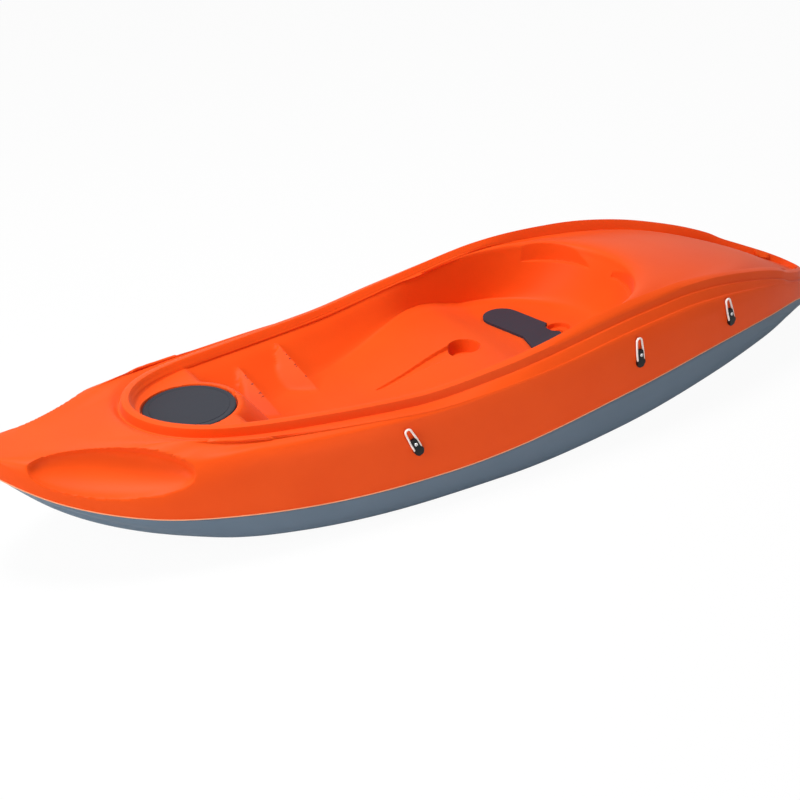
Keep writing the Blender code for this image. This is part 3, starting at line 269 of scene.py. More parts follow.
# the lip's place in the list of rings: the side lies before it, the deck and the tub after it
lipRings = {"outside": 8, "inside": 10.9}


def hullRings():
    def keel(x, y):
        return curve("keel", x)

    def chine(x, y):
        return curve("chine", x)

    def between(share):
        return lambda x, y: mixed(keel(x, y), chine(x, y), share)

    def narrowed(inset, least):
        return lambda x: np.maximum(seamWidth(x) - inset, least * seamWidth(x))

    def side(x, y):
        return mixed(chine(x, y), curve("seamHeight", x), 0.45)

    rings = [
        centreLine(tip - 0.10, 0.06 - tip, keel),
        ring(tip - 0.070, 0.040 - tip, lambda x: 0.45 * seamWidth(x), between(0.12), 6, 6),
        ring(tip - 0.030, 0.020 - tip, lambda x: 0.78 * seamWidth(x), between(0.45), 12, 12),
        ring(tip - 0.015, 0.010 - tip, narrowed(0.035, 0.80), chine, 30, 30),
        ring(tip - 0.007, 0.005 - tip, narrowed(0.012, 0.93), side, 60, 60),
        seamRing(0, lambda x, y: curve("seamHeight", x) - 0.0008),
    ]
    return [(points, 0) for points in rings]


# Points on the smooth surface through the rings: across counts rings, lap counts stations, port then starboard. The
# slopes go by the square root of each gap, so that the surface doesn't overshoot where rings lie close together.
def onRings(rings, across, lap, stations):
    port = lap <= stations
    turn = np.where(port, lap, 2 * stations - lap) * math.pi / stations
    points = np.array([points(turn) for points, corner in rings])
    points[..., 1] *= np.where(port, 1, -1)
    corner = np.array([corner for points, corner in rings])[1:-1, None, None]
    gaps = np.maximum(np.linalg.norm(np.diff(points, axis=0), axis=2, keepdims=True), 1e-6) ** 0.5
    slopes = np.diff(points, axis=0) / gaps
    middle = (slopes[:-1] * gaps[1:] + slopes[1:] * gaps[:-1]) / (gaps[1:] + gaps[:-1])
    leaving = np.concatenate([slopes[:1], mixed(middle, slopes[1:], corner), slopes[-1:]])
    arriving = np.concatenate([slopes[:1], mixed(middle, slopes[:-1], corner), slopes[-1:]])
    k = np.clip(across.astype(int), 0, len(rings) - 2)
    t = (across - k)[:, None]
    n = np.arange(len(across))
    start, end, gap = points[k, n], points[k + 1, n], gaps[k, n]
    bend = leaving[k, n] * gap * t * (1 - t) ** 2 + arriving[k + 1, n] * gap * t * t * (t - 1)
    return start * (1 + 2 * t) * (1 - t) ** 2 + end * t * t * (3 - 2 * t) + bend


# Rows of a shell's grid: enough between each two rings, given as fractions of a ring. The gap that counts is the one
# that all but the widest 15% of the places stay under.
def rowsBetween(rings):
    turn = np.linspace(0.1, 3.0, 40)
    points = np.array([points(turn) for points, corner in rings])
    lengths = np.percentile(np.linalg.norm(np.diff(points, axis=0), axis=2), 85, axis=1)
    counts = np.maximum(np.ceil(lengths / shells["rowLength"]).astype(int), shells["leastRows"])
    rows = [k + np.arange(count) / count for k, count in enumerate(counts)]
    return np.concatenate([*rows, [len(rings) - 1]])


# a flat grid in ring and station numbers, refined where the shape is fine, and then bent onto the shape
def bentShell(rings, shaped, fineness, holes):
    rows = rowsBetween(rings)
    stations = shells["stations"]
    bm = bmesh.new()
    bmesh.ops.create_grid(bm, x_segments=len(rows) - 1, y_segments=2 * stations, size=0.5)

    def places():
        flat = np.array([vert.co for vert in bm.verts])
        across = np.interp((flat[:, 0] + 0.5) * (len(rows) - 1), np.arange(len(rows)), rows)
        return shaped(across, onRings(rings, across, (flat[:, 1] + 0.5) * 2 * stations, stations))

    for _ in range(shells["passes"]):
        points = places()
        bm.verts.index_update()
        ends = np.array([(edge.verts[0].index, edge.verts[1].index) for edge in bm.edges])
        length = np.linalg.norm(points[ends[:, 0]] - points[ends[:, 1]], axis=1)
        wanted = np.minimum(*fineness(points)[ends].T)
        bm.edges.ensure_lookup_table()
        coarse = [bm.edges[i] for i in np.flatnonzero(length > shells["splitAt"] * wanted)]
        bmesh.ops.subdivide_edges(bm, edges=coarse, cuts=1, use_grid_fill=True)
    for vert, point in zip(bm.verts, places()):
        vert.co = point
    cut = [face for face in bm.faces if holes(face.calc_center_median())]
    bmesh.ops.delete(bm, geom=cut, context="FACES")
    bmesh.ops.remove_doubles(bm, verts=bm.verts, dist=shells["merge"])
    bmesh.ops.dissolve_degenerate(bm, edges=bm.edges, dist=1e-5)
    return bm


def linked(name, data):
    made = bpy.data.objects.new(name, data)
    bpy.context.scene.collection.objects.link(made)
    return made


def finished(name, bm, sharpAngle=40):
    bmesh.ops.recalc_face_normals(bm, faces=bm.faces)
    mesh = bpy.data.meshes.new(name)
    bm.to_mesh(mesh)
    bm.free()
    mesh.shade_smooth()
    mesh.set_sharp_from_angle(angle=math.radians(sharpAngle))
    return linked(name, mesh)


# gives a shell its wall, inward from the outer face
def walled(piece):
    solid = piece.modifiers.new("wall", "SOLIDIFY")
    solid.thickness, solid.offset = shells["wall"], -1
    solid.use_even_offset = False


def axes(place, alongX, nearZ):
    x = Vector(alongX).normalized()
    y = Vector(nearZ).cross(x).normalized()
    return Matrix.Translation(place) @ Matrix((x, y, x.cross(y))).transposed().to_4x4()


# What is formed in the deck's skin. The wall of a recess rises by slope for each metre out, and has a fillet.
hatch = {"x": 0.759, "radius": 0.127, "clearance": 0.0025, "recess": 0.014, "slope": 8, "fillet": 0.002,
         "opening": 0.100, "openingMargin": 0.002, "openingHeights": (0.25, 0.32), "shelf": 0.310, "edge": 0.672,
         "rim": 0.020, "frontSlope": 0.75, "frontFillet": 0.006, "shelfFillet": 0.010}
# each step: the foot of its crest (x, y), the top (x, y, z) and the end of its ramp (x, y)
footSteps = {"places": (((0.477, 0.029), (0.515, 0.213, 0.272), (0.568, 0.058)),
                        ((0.320, 0.105), (0.368, 0.255, 0.286), (0.420, 0.153))),
             "steepness": 30, "rounding": 0.0015, "face": 0.0036, "snap": 0.56, "footSink": 0.001, "endSink": 0.002,
             "reach": 0.15, "fillet": 0.004}
cup = {"x": -0.099, "radius": 0.0425, "slope": 7.8, "fillet": 0.004, "depth": 0.040, "channelTip": 0.192,
       "channelWidth": 0.066, "channelEnd": 0.002, "channelDepth": 0.013, "channelFade": 0.6, "channelSlope": 3,
       "tipSlope": 2, "channelFillet": 0.002}
drain = {"x": -0.424, "radius": 0.0336, "slope": 8, "fillet": 0.002, "depth": 0.014, "bore": 0.012,
         "boreMargin": 0.001, "pipeWall": 0.003}
# each ledge's arc: side, its centre along the kayak and out from the middle, its radius
crescents = {"ledge": 0.323, "slope": 8, "fillet": 0.003,
             "places": ((1, -0.4103, 0.0330, 0.2070), (-1, -0.4184, 0.0824, 0.1775))}
bowGrip = {"fore": (1.253, 0.108, 0.322), "aft": (0.882, 0.294, 0.264), "halfWidth": 0.068, "depth": 0.040,
           "tilt": math.radians(45), "fillet": 0.004}
sternGrip = {"place": (-1.225, 0.062, 0.214), "along": (1, 0.75, 0.3), "up": (0, 1, 1),
             "size": (0.044, 0.018, 0.022), "fillet": 0.002}
pad = {"middle": -0.355, "end": (-0.322, 0.155), "halfWidth": 0.055, "thickness": 0.008, "softEdge": 0.0025,
       "floor": 0.2095, "margin": 0.003, "slope": 3, "fillet": 0.0015, "holeMargin": 0.006, "corners": 144,
       "farthest": 0.3}


def onSide(side, point):
    x, y, z = point
    return x, side * y, z


# for the bow hollow and the stern's hand hollow of a side: where it lies, its half sizes and its fillet
def gripPlaces(side):
    fore, aft = (Vector(onSide(side, bowGrip[end])) for end in ("fore", "aft"))
    up = (0, side * math.sin(bowGrip["tilt"]), math.cos(bowGrip["tilt"]))
    size = ((fore - aft).length / 2, bowGrip["halfWidth"], bowGrip["depth"])
    sternPlace = axes(*(onSide(side, sternGrip[key]) for key in ("place", "along", "up")))
    return [(axes((fore + aft) / 2, fore - aft, up), size, bowGrip["fillet"]),
            (sternPlace, sternGrip["size"], sternGrip["fillet"])]


def inGrip(points, place, size):
    local = (points - np.array(place.translation)) @ np.array(place.to_3x3())
    return local, (local[:, 0] / size[0]) ** 2 + (local[:, 1] / size[1]) ** 2


# presses the surface down onto the lower half of an egg shape, with a soft edge
def hollowed(points, place, size, fillet):
    local, share = inGrip(points, place, size)
    bottom = -size[2] * np.sqrt(np.clip(1 - share, 0, 1)) + size[2] * 4 * np.clip(share - 1, 0, None)
    near = (share < 1.6) & (abs(local[:, 2]) < 2.5 * size[2])
    local[near, 2] = lower(local[near, 2], bottom[near], fillet)
    return local @ np.array(place.to_3x3()).T + np.array(place.translation)


def shelfHeight(x, y):
    reach = hatch["radius"] + hatch["rim"]
    swell = hatch["x"] - np.sqrt(np.clip(reach**2 - y**2, 0, None))
    edge = np.where(abs(y) < reach, np.minimum(swell, hatch["edge"]), hatch["edge"])
    return lower(hatch["shelf"] + 0 * x, hatch["shelf"] - (edge - x) / hatch["frontSlope"], hatch["frontFillet"])


# how far a point lies to the stern of a foot step's crest, its share of the way along it, and the way off it
def fromCrest(x, y, step):
    (footX, footY), (topX, topY, top), end = step
    length = math.hypot(topX - footX, topY - footY)
    alongX, alongY = (topX - footX) / length, (topY - footY) / length
    aside = (x - footX) * -alongY + (abs(y) - footY) * alongX
    return aside, ((x - footX) * alongX + (abs(y) - footY) * alongY) / length, (-alongY, alongX)


# moves the points beside a crest onto it or onto the foot of its steep face, so that both lines run clean
def onCrest(x, y, z, step):
    aside, share, (awayX, awayY) = fromCrest(x, y, step)
    low = float(curve("floorHeight", step[0][0]))
    face = footSteps["face"]
    line = np.where(aside < face / 2, 0, face)
    covered = mixed(low, step[1][2], share) > z + 0.0005
    near = (abs(aside - line) < footSteps["snap"] * face) & (share > -0.02) & covered
    move = np.where(near, line - aside, 0)
    return x + move * awayX, y + np.sign(y) * move * awayY


# a crest that climbs the wall, with a steep face to the stern and a ramp to the bow
def stepHeight(x, y, step):
    (footX, footY), (topX, topY, top), (endX, endY) = step
    foot = np.array([footX, footY, float(curve("floorHeight", footX)) - footSteps["footSink"]])
    end = np.array([endX, endY, float(curve("floorHeight", endX)) - footSteps["endSink"]])
    normal = np.cross(np.array([topX, topY, top]) - foot, end - foot)
    ramp = foot[2] - (normal[0] * (x - foot[0]) + normal[1] * (abs(y) - foot[1])) / normal[2]
    front = end[2] + (endX - x) * (top - end[2]) / (endX - topX)
    rounding = footSteps["rounding"]
    made = lower(lower(ramp, front, rounding), top + 0 * x, rounding)
    aside, share, _ = fromCrest(x, y, step)
    return lower(made, top - footSteps["steepness"] * aside - mixed(top - foot[2], 0, share), rounding)


# how far a point lies outside the arc of the crescent ledge on its side
def crescentReach(x, y):
    reach = [np.where(side * y > 0, np.hypot(x - placeX, side * y - placeY) - radius, 1)
             for side, placeX, placeY, radius in crescents["places"]]
    return np.minimum(*reach)


# how far a point lies outside the pad: a rounded band that is bent back at the middle
def padReach(x, y):
    endX, endY = pad["end"]
    leanX = endX - pad["middle"]
    share = np.clip(((x - pad["middle"]) * leanX + abs(y) * endY) / (leanX**2 + endY**2), 0, 1)
    return np.hypot(x - pad["middle"] - share * leanX, abs(y) - share * endY) - pad["halfWidth"]


# share of the way from the cup to the channel's tip, and the channel's half width there
def channelAt(x):
    ahead = (x - cup["x"]) / (cup["channelTip"] - cup["x"])
    return ahead, mixed(cup["channelWidth"] / 2, cup["channelEnd"] / 2, np.clip(ahead, 0, 1))


# how far a point lies outside a round form
def roundReach(x, y, form):
    return np.hypot(x - form["x"], y) - form["radius"]


def recessFloor(form):
    return float(curve("floorHeight", form["x"])) - form["depth"]


# presses a recess into the surface: reach is how far a point lies outside it
def recessed(made, floor, reach, form):
    return lower(made, floor + form["slope"] * np.clip(reach, 0, None), form["fillet"])


def deckShape(across, points):
    x, y, z = points.T
    inside = across > lipRings["inside"]
    for step in footSteps["places"]:
        movedX, movedY = onCrest(x, y, z, step)
        x, y = np.where(inside, movedX, x), np.where(inside, movedY, y)
    made = np.where(x > 0.3, higher(z, shelfHeight(x, y), hatch["shelfFillet"]), z)
    for step in footSteps["places"]:
        aside, share, _ = fromCrest(x, y, step)
        near = (abs(aside) < footSteps["reach"]) & (share > -0.1)
        made = np.where(near, higher(made, stepHeight(x, y, step), footSteps["fillet"]), made)
    made = recessed(made, hatch["shelf"] - hatch["recess"], roundReach(x, y, hatch) - hatch["clearance"], hatch)
    made = recessed(made, recessFloor(cup), roundReach(x, y, cup), cup)
    ahead, half = channelAt(x)
    low = curve("floorHeight", x) - cup["channelDepth"] * (1 - cup["channelFade"] * np.clip(ahead, 0, 1))
    aside, beyond = np.clip(abs(y) - half, 0, None), np.clip(x - cup["channelTip"], 0, None)
    channel = low + cup["channelSlope"] * aside + cup["tipSlope"] * beyond
    made = lower(made, channel + np.where(ahead < 0, 1, 0), cup["channelFillet"])
    made = recessed(made, pad["floor"], padReach(x, y) - pad["margin"], pad)
    made = recessed(made, recessFloor(drain), roundReach(x, y, drain), drain)
    made = recessed(made, crescents["ledge"], crescentReach(x, y), crescents)
    points = np.stack([x, y, np.where(inside, made, z)], axis=1)
    for side in (1, -1):
        for place, size, fillet in gripPlaces(side):
            pressed = hollowed(points, place, size, fillet)
            near = (across < lipRings["outside"]) & (side * y > -0.01)
            if size is sternGrip["size"]:
                near = side * y > 0.02
            points = np.where(near[:, None], pressed, points)
    return points


# how fine the grid has to be at each point
def deckFineness(points):
    x, y, z = points.T
    fine = np.full(len(points), grid["plain"])

    def band(distance, reach, size):
        np.minimum(fine, np.where(abs(distance) < reach, size, grid["plain"]), out=fine)

    band(roundReach(x, y, hatch) - hatch["clearance"], 0.005, grid["rim"])
    band(roundReach(x, y, cup) - 0.005, 0.010, grid["rim"])
    band(roundReach(x, y, drain), 0.007, grid["rim"])
    for tube in (cup, drain):
        band(np.hypot(x - tube["x"], y), 0.016, grid["edge"])
    ahead, half = channelAt(x)
    fine[(abs(abs(y) - half) < 0.006) & (ahead > 0) & (ahead < 1.05)] = grid["edge"]
    band(padReach(x, y) - pad["margin"], 0.004, grid["edge"])
    band(np.where((z > 0.31) & (x < -0.44), crescentReach(x, y), 1), 0.016, grid["edge"])
    for step in footSteps["places"]:
        aside, share, _ = fromCrest(x, y, step)
        onStep = (share > -0.1) & (share < 1.1) & (z < 0.32)
        fine[(abs(aside) < 0.012) & onStep] = grid["crest"]
        fine[(aside < 0) & (aside > -0.1) & onStep] = grid["ramp"]
    for side in (1, -1):
        (place, size, _), (sternPlace, sternSize, _) = gripPlaces(side)
        local, share = inGrip(points, place, size)
        band(np.where(abs(local[:, 2]) < 0.06, np.sqrt(share) - 1, 1), 0.12, grid["grip"])
        local, share = inGrip(points, sternPlace, sternSize)
        band(np.where(abs(local[:, 2]) < 0.03, np.sqrt(share) - 0.7, 1), 0.7, grid["edge"])
    return fine


def inBore(point):
    bore = drain["bore"] + drain["boreMargin"]
    return any(math.hypot(point.x - tube["x"], point.y) < bore for tube in (cup, drain))


def deckHole(point):
    low, high = hatch["openingHeights"]
    inHatch = math.hypot(point.x - hatch["x"], point.y) < hatch["opening"] + hatch["openingMargin"]
    return inHatch and low < point.z < high or inBore(point)


deck = finished("deck", bentShell(deckRings(), deckShape, deckFineness, deckHole))
walled(deck)
deck.modifiers.new("even shading", "WEIGHTED_NORMAL").keep_sharp = True
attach(deck, "kayak")
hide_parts("deck_shell")
print("deck:", len(deck.data.polygons), "faces")

# The hull: a keel rib and a runner on each side of it, as (distance from the middle, half width, fore end, aft end)
hullRibs = {"places": ((0.0, 0.016, 1.10, -1.15), (0.150, 0.011, 0.85, -0.95)), "ends": -0.003, "depth": 0.007,
            "flare": 1.6, "fade": 0.25, "fillet": 0.002}


def hullShape(across, points):
    x, y, z = points.T
    for place, half, fore, aft in hullRibs["places"]:
        inward = eased(0, hullRibs["fade"], np.minimum(x - aft, fore - x))
        depth = mixed(hullRibs["ends"], hullRibs["depth"], inward)
        low = curve("keel", x) - depth + hullRibs["flare"] * np.clip(abs(abs(y) - place) - half, 0, None)
        z = np.where((x < fore) & (x > aft), lower(z, low, hullRibs["fillet"]), z)
    return np.stack([x, y, z], axis=1)


def hullFineness(points):
    x, y, z = points.T
    fine = np.full(len(points), grid["plain"])
    for place, half, fore, aft in hullRibs["places"]:
        fine[(abs(abs(abs(y) - place) - half) < 0.007) & (x < fore) & (x > aft) & (z < 0.2)] = grid["rib"]
    for tube in (cup, drain):
        fine[np.hypot(x - tube["x"], y) < 0.016] = grid["edge"]
    return fine


hull = finished("hull", bentShell(hullRings(), hullShape, hullFineness, inBore))
walled(hull)
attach(hull, "kayak")
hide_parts("hull_shell")
print("hull:", len(hull.data.polygons), "faces")

# The welded edge of the two shells, pressed to a thin bead whose pale colour is a painted highlight
weld = {"radius": 0.0016, "points": 360, "smoothness": 2}


def weldBead():
    turn = np.linspace(0, math.pi, weld["points"] // 2 + 1)
    port = seamRing(0, lambda x, y: curve("seamHeight", x))(turn)
    path = np.concatenate([port[:-1], (port * (1, -1, 1))[:0:-1]])
    line, spline = roundLine("weldLine", "POLY", path, weld["radius"], weld["smoothness"])
    spline.use_cyclic_u = True
    return meshOf("seam_weld", line)


# a curve with a round section through the points of a path
def roundLine(name, kind, path, radius, smoothness):
    line = bpy.data.curves.new(name, "CURVE")
    line.dimensions = "3D"
    line.bevel_depth, line.bevel_resolution = radius, smoothness
    spline = line.splines.new(kind)
    spline.points.add(len(path) - 1)
    for item, point in zip(spline.points, path):
        item.co = (*point, 1)
    return line, spline


# the mesh that an object shows, with its modifiers
def shownMesh(shown):
    bpy.context.view_layer.update()
    graph = bpy.context.evaluated_depsgraph_get()
    return bpy.data.meshes.new_from_object(shown.evaluated_get(graph))


# turns a curve into a mesh piece
def meshOf(name, line):
    holder = linked(name + "Line", line)
    mesh = shownMesh(holder)
    bpy.data.objects.remove(holder)
    bm = bmesh.new()
    bm.from_mesh(mesh)
    bpy.data.meshes.remove(mesh)
    bmesh.ops.remove_doubles(bm, verts=bm.verts, dist=1e-6)
    return finished(name, bm, 60)


bead = weldBead()
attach(bead, "kayak")


# a round piece: a closed profile of (radius, height) points spun about Z
def turned(name, profile, place, steps=64):
    bm = bmesh.new()
    points = [bm.verts.new((radius, 0, height)) for radius, height in profile]
    edges = [bm.edges.new(pair) for pair in zip(points, points[1:] + points[:1])]
    bmesh.ops.spin(bm, geom=points + edges, angle=2 * math.pi, steps=steps, axis=(0, 0, 1), cent=(0, 0, 0),
                   use_merge=True)
    bmesh.ops.remove_doubles(bm, verts=bm.verts, dist=1e-6)
    bmesh.ops.dissolve_degenerate(bm, edges=bm.edges, dist=1e-7)
    loose = [edge for edge in bm.edges if not edge.link_faces]
    bmesh.ops.delete(bm, geom=loose, context="EDGES")
    bm.transform(place)
    return finished(name, bm)


# a drain pipe from the floor of a recess, where it has a rounded rim, down through the hull
def drainPipe(name, tube):
    top, bore, wall = recessFloor(tube), drain["bore"], drain["pipeWall"]
    return turned(name, (
        (bore, -0.0003), (bore, top - 0.001), (bore + 0.001, top + 0.0006), (bore + 0.005, top + 0.0006),
        (bore + 0.006, top - 0.002), (bore + wall, top - 0.004), (bore + wall, -0.0003),
    ), Matrix.Translation((tube["x"], 0, 0.0006)), steps=40)


pipes = [drainPipe("cup_drain_pipe", cup), drainPipe("seat_drain_pipe", drain)]
for pipe in pipes:
    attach(pipe, "kayak")

# The hatch: a screwed frame, its gasket, and a lid with a fine groove round its face
hatchLid = {"radius": 0.127, "rounding": 0.0042, "groove": 0.1105, "grooveDepth": 0.0007, "skirt": 0.0935,
            "skirtWall": 0.003, "rimWall": 0.003, "rimLow": 0.2975, "aboveFrame": 0.0036}
hatchFrame = {"flange": 0.119, "flangeThickness": 0.003, "collar": 0.099, "collarWall": 0.005, "rounding": 0.0008}
gasketWidth = 0.009
hatchPlace = Matrix.Translation((hatch["x"], 0, 0))


def makeFrame():
    (_, _, low), (_, _, top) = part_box("hatch_frame")
    flange, collar, rounding = hatchFrame["flange"], hatchFrame["collar"], hatchFrame["rounding"]
    bore, seat = collar - hatchFrame["collarWall"], top - hatchFrame["flangeThickness"]
    return turned("hatch_rim", (
        (bore, top - rounding), (bore + rounding, top), (flange - rounding, top), (flange, top - rounding),
        (flange, seat), (collar, seat), (collar, low), (bore, low),
    ), hatchPlace, steps=128)


def makeGasket():
    (_, _, low), (_, outer, top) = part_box("hatch_gasket")
    inner = outer - gasketWidth
    return turned("hatch_seal", [(inner, low)] + [
        ((inner + outer) / 2 - gasketWidth / 2 * math.cos(turn), low + (top - low) * math.sin(turn))
        for turn in np.linspace(0.25, math.pi - 0.25, 9)
    ] + [(outer, low)], hatchPlace, steps=128)


def makeLid():
    (_, _, low), (_, _, top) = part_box("hatch_lid")
    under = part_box("hatch_frame")[1][2] + hatchLid["aboveFrame"]
    radius, skirt, groove, deep = (hatchLid[key] for key in ("radius", "skirt", "groove", "grooveDepth"))
    inside = skirt - hatchLid["skirtWall"]
    rim, rimLow, edge = radius - hatchLid["rimWall"], hatchLid["rimLow"], hatchLid["rounding"]
    corner = [(radius - edge * (1 - math.sin(turn)), top - 0.0010 - edge * (1 - math.cos(turn)))
              for turn in np.linspace(0, math.pi / 2, 7)]
    return turned("lid", [
        (0, top), (groove - 0.0022, top - 0.0006), (groove - 0.0014, top - 0.0007 - deep),
        (groove + 0.0014, top - 0.0007 - deep), (groove + 0.0022, top - 0.0008), *corner,
        (radius, rimLow), (rim, rimLow), (rim, under), (skirt, under), (skirt, low + 0.001),
        (skirt - 0.001, low), (inside, low), (inside, under + 0.001), (0, under + 0.001),
    ], hatchPlace, steps=128)


rim, seal, lid = makeFrame(), makeGasket(), makeLid()
for piece, body, node in ((rim, "kayak", "hatch_frame"), (seal, "kayak", "hatch_gasket"),
                          (lid, "hatch_cover", "hatch_lid")):
    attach(piece, body)
    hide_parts(node)


# cuts one piece out of another for good
def cutAway(piece, cutter):
    cut = piece.modifiers.new("cut", "BOOLEAN")
    cut.object, cut.operation, cut.solver = cutter, "DIFFERENCE", "EXACT"
    settle(piece)
    bpy.data.objects.remove(cutter)


# makes a piece's modifiers part of its mesh
def settle(piece):
    mesh = shownMesh(piece)
    piece.modifiers.clear()
    piece.data = mesh


# The seat pad: a foam sheet with rounded edges, bitten by the drain recess. Its outline is found by walking out from
# the middle in every direction.
def makePad():
    bm = bmesh.new()
    low = pad["floor"] + 0.0003
    corners = []
    far = np.linspace(0, pad["farthest"], 3001)
    for turn in np.linspace(0, 2 * math.pi, pad["corners"] + 1)[:-1]:
        out = np.array([math.cos(turn), math.sin(turn)])
        reach = padReach(pad["middle"] + far * out[0], far * out[1])
        edge = far[np.argmax(reach > 0)] * out
        corners.append(bm.verts.new((pad["middle"] + edge[0], edge[1], low)))
    face = bm.faces.new(corners)
    grown = bmesh.ops.extrude_face_region(bm, geom=[face])
    risen = [item for item in grown["geom"] if isinstance(item, bmesh.types.BMVert)]
    bmesh.ops.translate(bm, verts=risen, vec=(0, 0, pad["thickness"]))
    piece = finished("pad", bm)
    bm = bmesh.new()
    radius = drain["radius"] + pad["holeMargin"]
    bmesh.ops.create_cone(bm, cap_ends=True, segments=72, radius1=radius, radius2=radius, depth=0.06,
                          matrix=Matrix.Translation((drain["x"], 0, low)))
    cutAway(piece, finished("padBite", bm))
    soft = piece.modifiers.new("soft edge", "BEVEL")
    soft.width, soft.segments = pad["softEdge"], 4
    soft.limit_method, soft.angle_limit = "ANGLE", math.radians(50)
    settle(piece)
    return piece


seatPad = makePad()
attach(seatPad, "kayak")
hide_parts("seat_pad")
print("hatch and seat pad made")

# The side fittings: a tapered body that swivels on its screw, and a cord that runs round its shoulders
fitting = {
    "angle": {"fore": math.radians(66), "middle": math.radians(88), "aft": math.radians(78)},
    "outline": ((0.0150, 0.0000), (0.0150, 0.0070), (0.0100, 0.0092), (-0.0060, 0.0092), (-0.0150, 0.0094),
                (-0.0180, 0.0138), (-0.0270, 0.0142), (-0.0340, 0.0110), (-0.0390, 0.0070), (-0.0390, 0.0000)),
    "thickness": 0.011, "rounding": 0.0018, "tail": (-0.022, -0.037), "tailDrop": 0.0035,
    "cordRadius": 0.0029, "cordHeight": 0.0062, "cordEnd": 0.0520, "cordHalfGap": 0.0112, "cordStart": -0.0190,
    "cordTurn": 0.0088,
    "screwRadius": 0.0052, "screwHead": 0.0022, "socket": 0.0022,
}


def fittingPlace(joint, name):
    normal = Vector(joint["axis"])
    angle = fitting["angle"][name]
    lean = Vector((math.cos(angle), 0, math.sin(angle)))
    return axes(joint["pos_m"], lean - lean.dot(normal) * normal, normal)


# a closed outline with its corners cut off again and again until it is round, and the direction out of it
def softened(corners):
    points = np.array(corners)
    for _ in range(3):
        after = np.roll(points, -1, axis=0)
        points = np.stack([mixed(points, after, 0.25), mixed(points, after, 0.75)], axis=1).reshape(-1, 2)
    onward = np.roll(points, -1, axis=0) - np.roll(points, 1, axis=0)
    onward /= np.linalg.norm(onward, axis=1)[:, None]
    return points, np.stack([onward[:, 1], -onward[:, 0]], axis=1)


def fittingBody(name, place):
    half = fitting["outline"]
    points, out = softened([(x, -y) for x, y in reversed(half)] + list(half[1:-1]))
    rounding = fitting["rounding"]
    top = fitting["thickness"] - fitting["tailDrop"] * eased(*fitting["tail"], points[:, 0])
    bm = bmesh.new()
    rows = []
    for turn in (None, *np.linspace(0, math.pi / 2, 6)):
        inset = 0 if turn is None else rounding * (1 - math.cos(turn))
        high = 0 * top if turn is None else top - rounding * (1 - math.sin(turn))
        flat = points - inset * out
        rows.append([bm.verts.new((*point, z)) for point, z in zip(flat, high)])
    for low, high in zip(rows, rows[1:]):
        for i in range(len(low)):
            bm.faces.new((low[i - 1], low[i], high[i], high[i - 1]))
    bm.faces.new(rows[0])
    bm.faces.new(rows[-1])
    bm.transform(place)
    return finished(name, bm, 50)


def fittingCord(name, place):
    half, end, start, turnRadius = (fitting[key] for key in ("cordHalfGap", "cordEnd", "cordStart", "cordTurn"))
    knee = end - fitting["cordRadius"] - turnRadius
    leg = [(start, -half + 0.0015), (start + 0.004, -half), (0.004, -half), (0.014, -half + 0.0003),
           (mixed(0.014, knee, 0.5), -mixed(half, turnRadius, 0.6))]
    arc = [(knee + turnRadius * math.sin(turn), -turnRadius * math.cos(turn)) for turn in np.linspace(0, math.pi, 15)]
    path = [(x, y, fitting["cordHeight"]) for x, y in leg + arc + [(x, -y) for x, y in reversed(leg)]]
    line, spline = roundLine(name + "Path", "NURBS", path, fitting["cordRadius"], 3)
    line.use_fill_caps = True
    spline.order_u, spline.use_endpoint_u, spline.resolution_u = 3, True, 4
    piece = meshOf(name, line)
    piece.data.transform(place)
    return piece


def fittingScrew(name, place):
    radius, head, socket, seat = (fitting[key] for key in ("screwRadius", "screwHead", "socket", "thickness"))
    return turned(name, (
        (0, seat + 0.3 * head), (socket * 0.8, seat + 0.3 * head), (socket, seat + head), (0.75 * radius, seat + head),
        (0.93 * radius, seat + 0.72 * head), (radius, seat + 0.3 * head), (radius, seat - 0.001),
        (0.0024, seat - 0.001), (0.0024, seat - 0.024), (0, seat - 0.026),
    ), place, steps=32)


fittingBodies, fittingCords, fittingScrews = [], [], []
for joint in frame["joints"]:
    if not joint["name"].endswith("_swivel_turn"):
        continue
    side, name = joint["name"].split("_")[:2]
    stem = f"{side}_{name}"
    place = fittingPlace(joint, name)
    fittingBodies.append(fittingBody(f"{stem}_clip", place))
    fittingCords.append(fittingCord(f"{stem}_cord", place))
    fittingScrews.append(fittingScrew(f"{stem}_screw", place))
    for piece, body, node in ((fittingBodies[-1], joint["child"], "body"), (fittingCords[-1], joint["child"], "loop"),
                              (fittingScrews[-1], "kayak", "screw")):
        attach(piece, body)
        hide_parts(f"{stem}_fitting_{node}")
print("side fittings:", len(fittingBodies))

# The drain bung at the stern: a bush with a flange, and a knob with a bar to turn it by
bung = {"flange": 0.021, "flangeHeight": 0.003, "bore": 0.0115, "bushWall": 0.003, "bushLength": 0.016,
        "knob": 0.016, "knobLow": 0.0056, "knobHigh": 0.0106, "thread": 0.011, "notches": 24, "notchDepth": 0.045,
        "dish": 0.62, "bar": 0.0045}
bungJoint = next(joint for joint in frame["joints"] if joint["name"] == "drain_bung_turn")
bungPlace = axes(bungJoint["pos_m"], (1, 0, 0), bungJoint["axis"])


def makeBush():
    flange, high, bore, length = (bung[key] for key in ("flange", "flangeHeight", "bore", "bushLength"))
    outside = bore + bung["bushWall"]
    return turned("bung_bush", (
        (bore, high), (flange - 0.0020, high), (flange - 0.0006, high - 0.0006), (flange, high - 0.0018), (flange, 0),
        (outside, 0), (outside, -length), (bore, -length),
    ), bungPlace, steps=72)


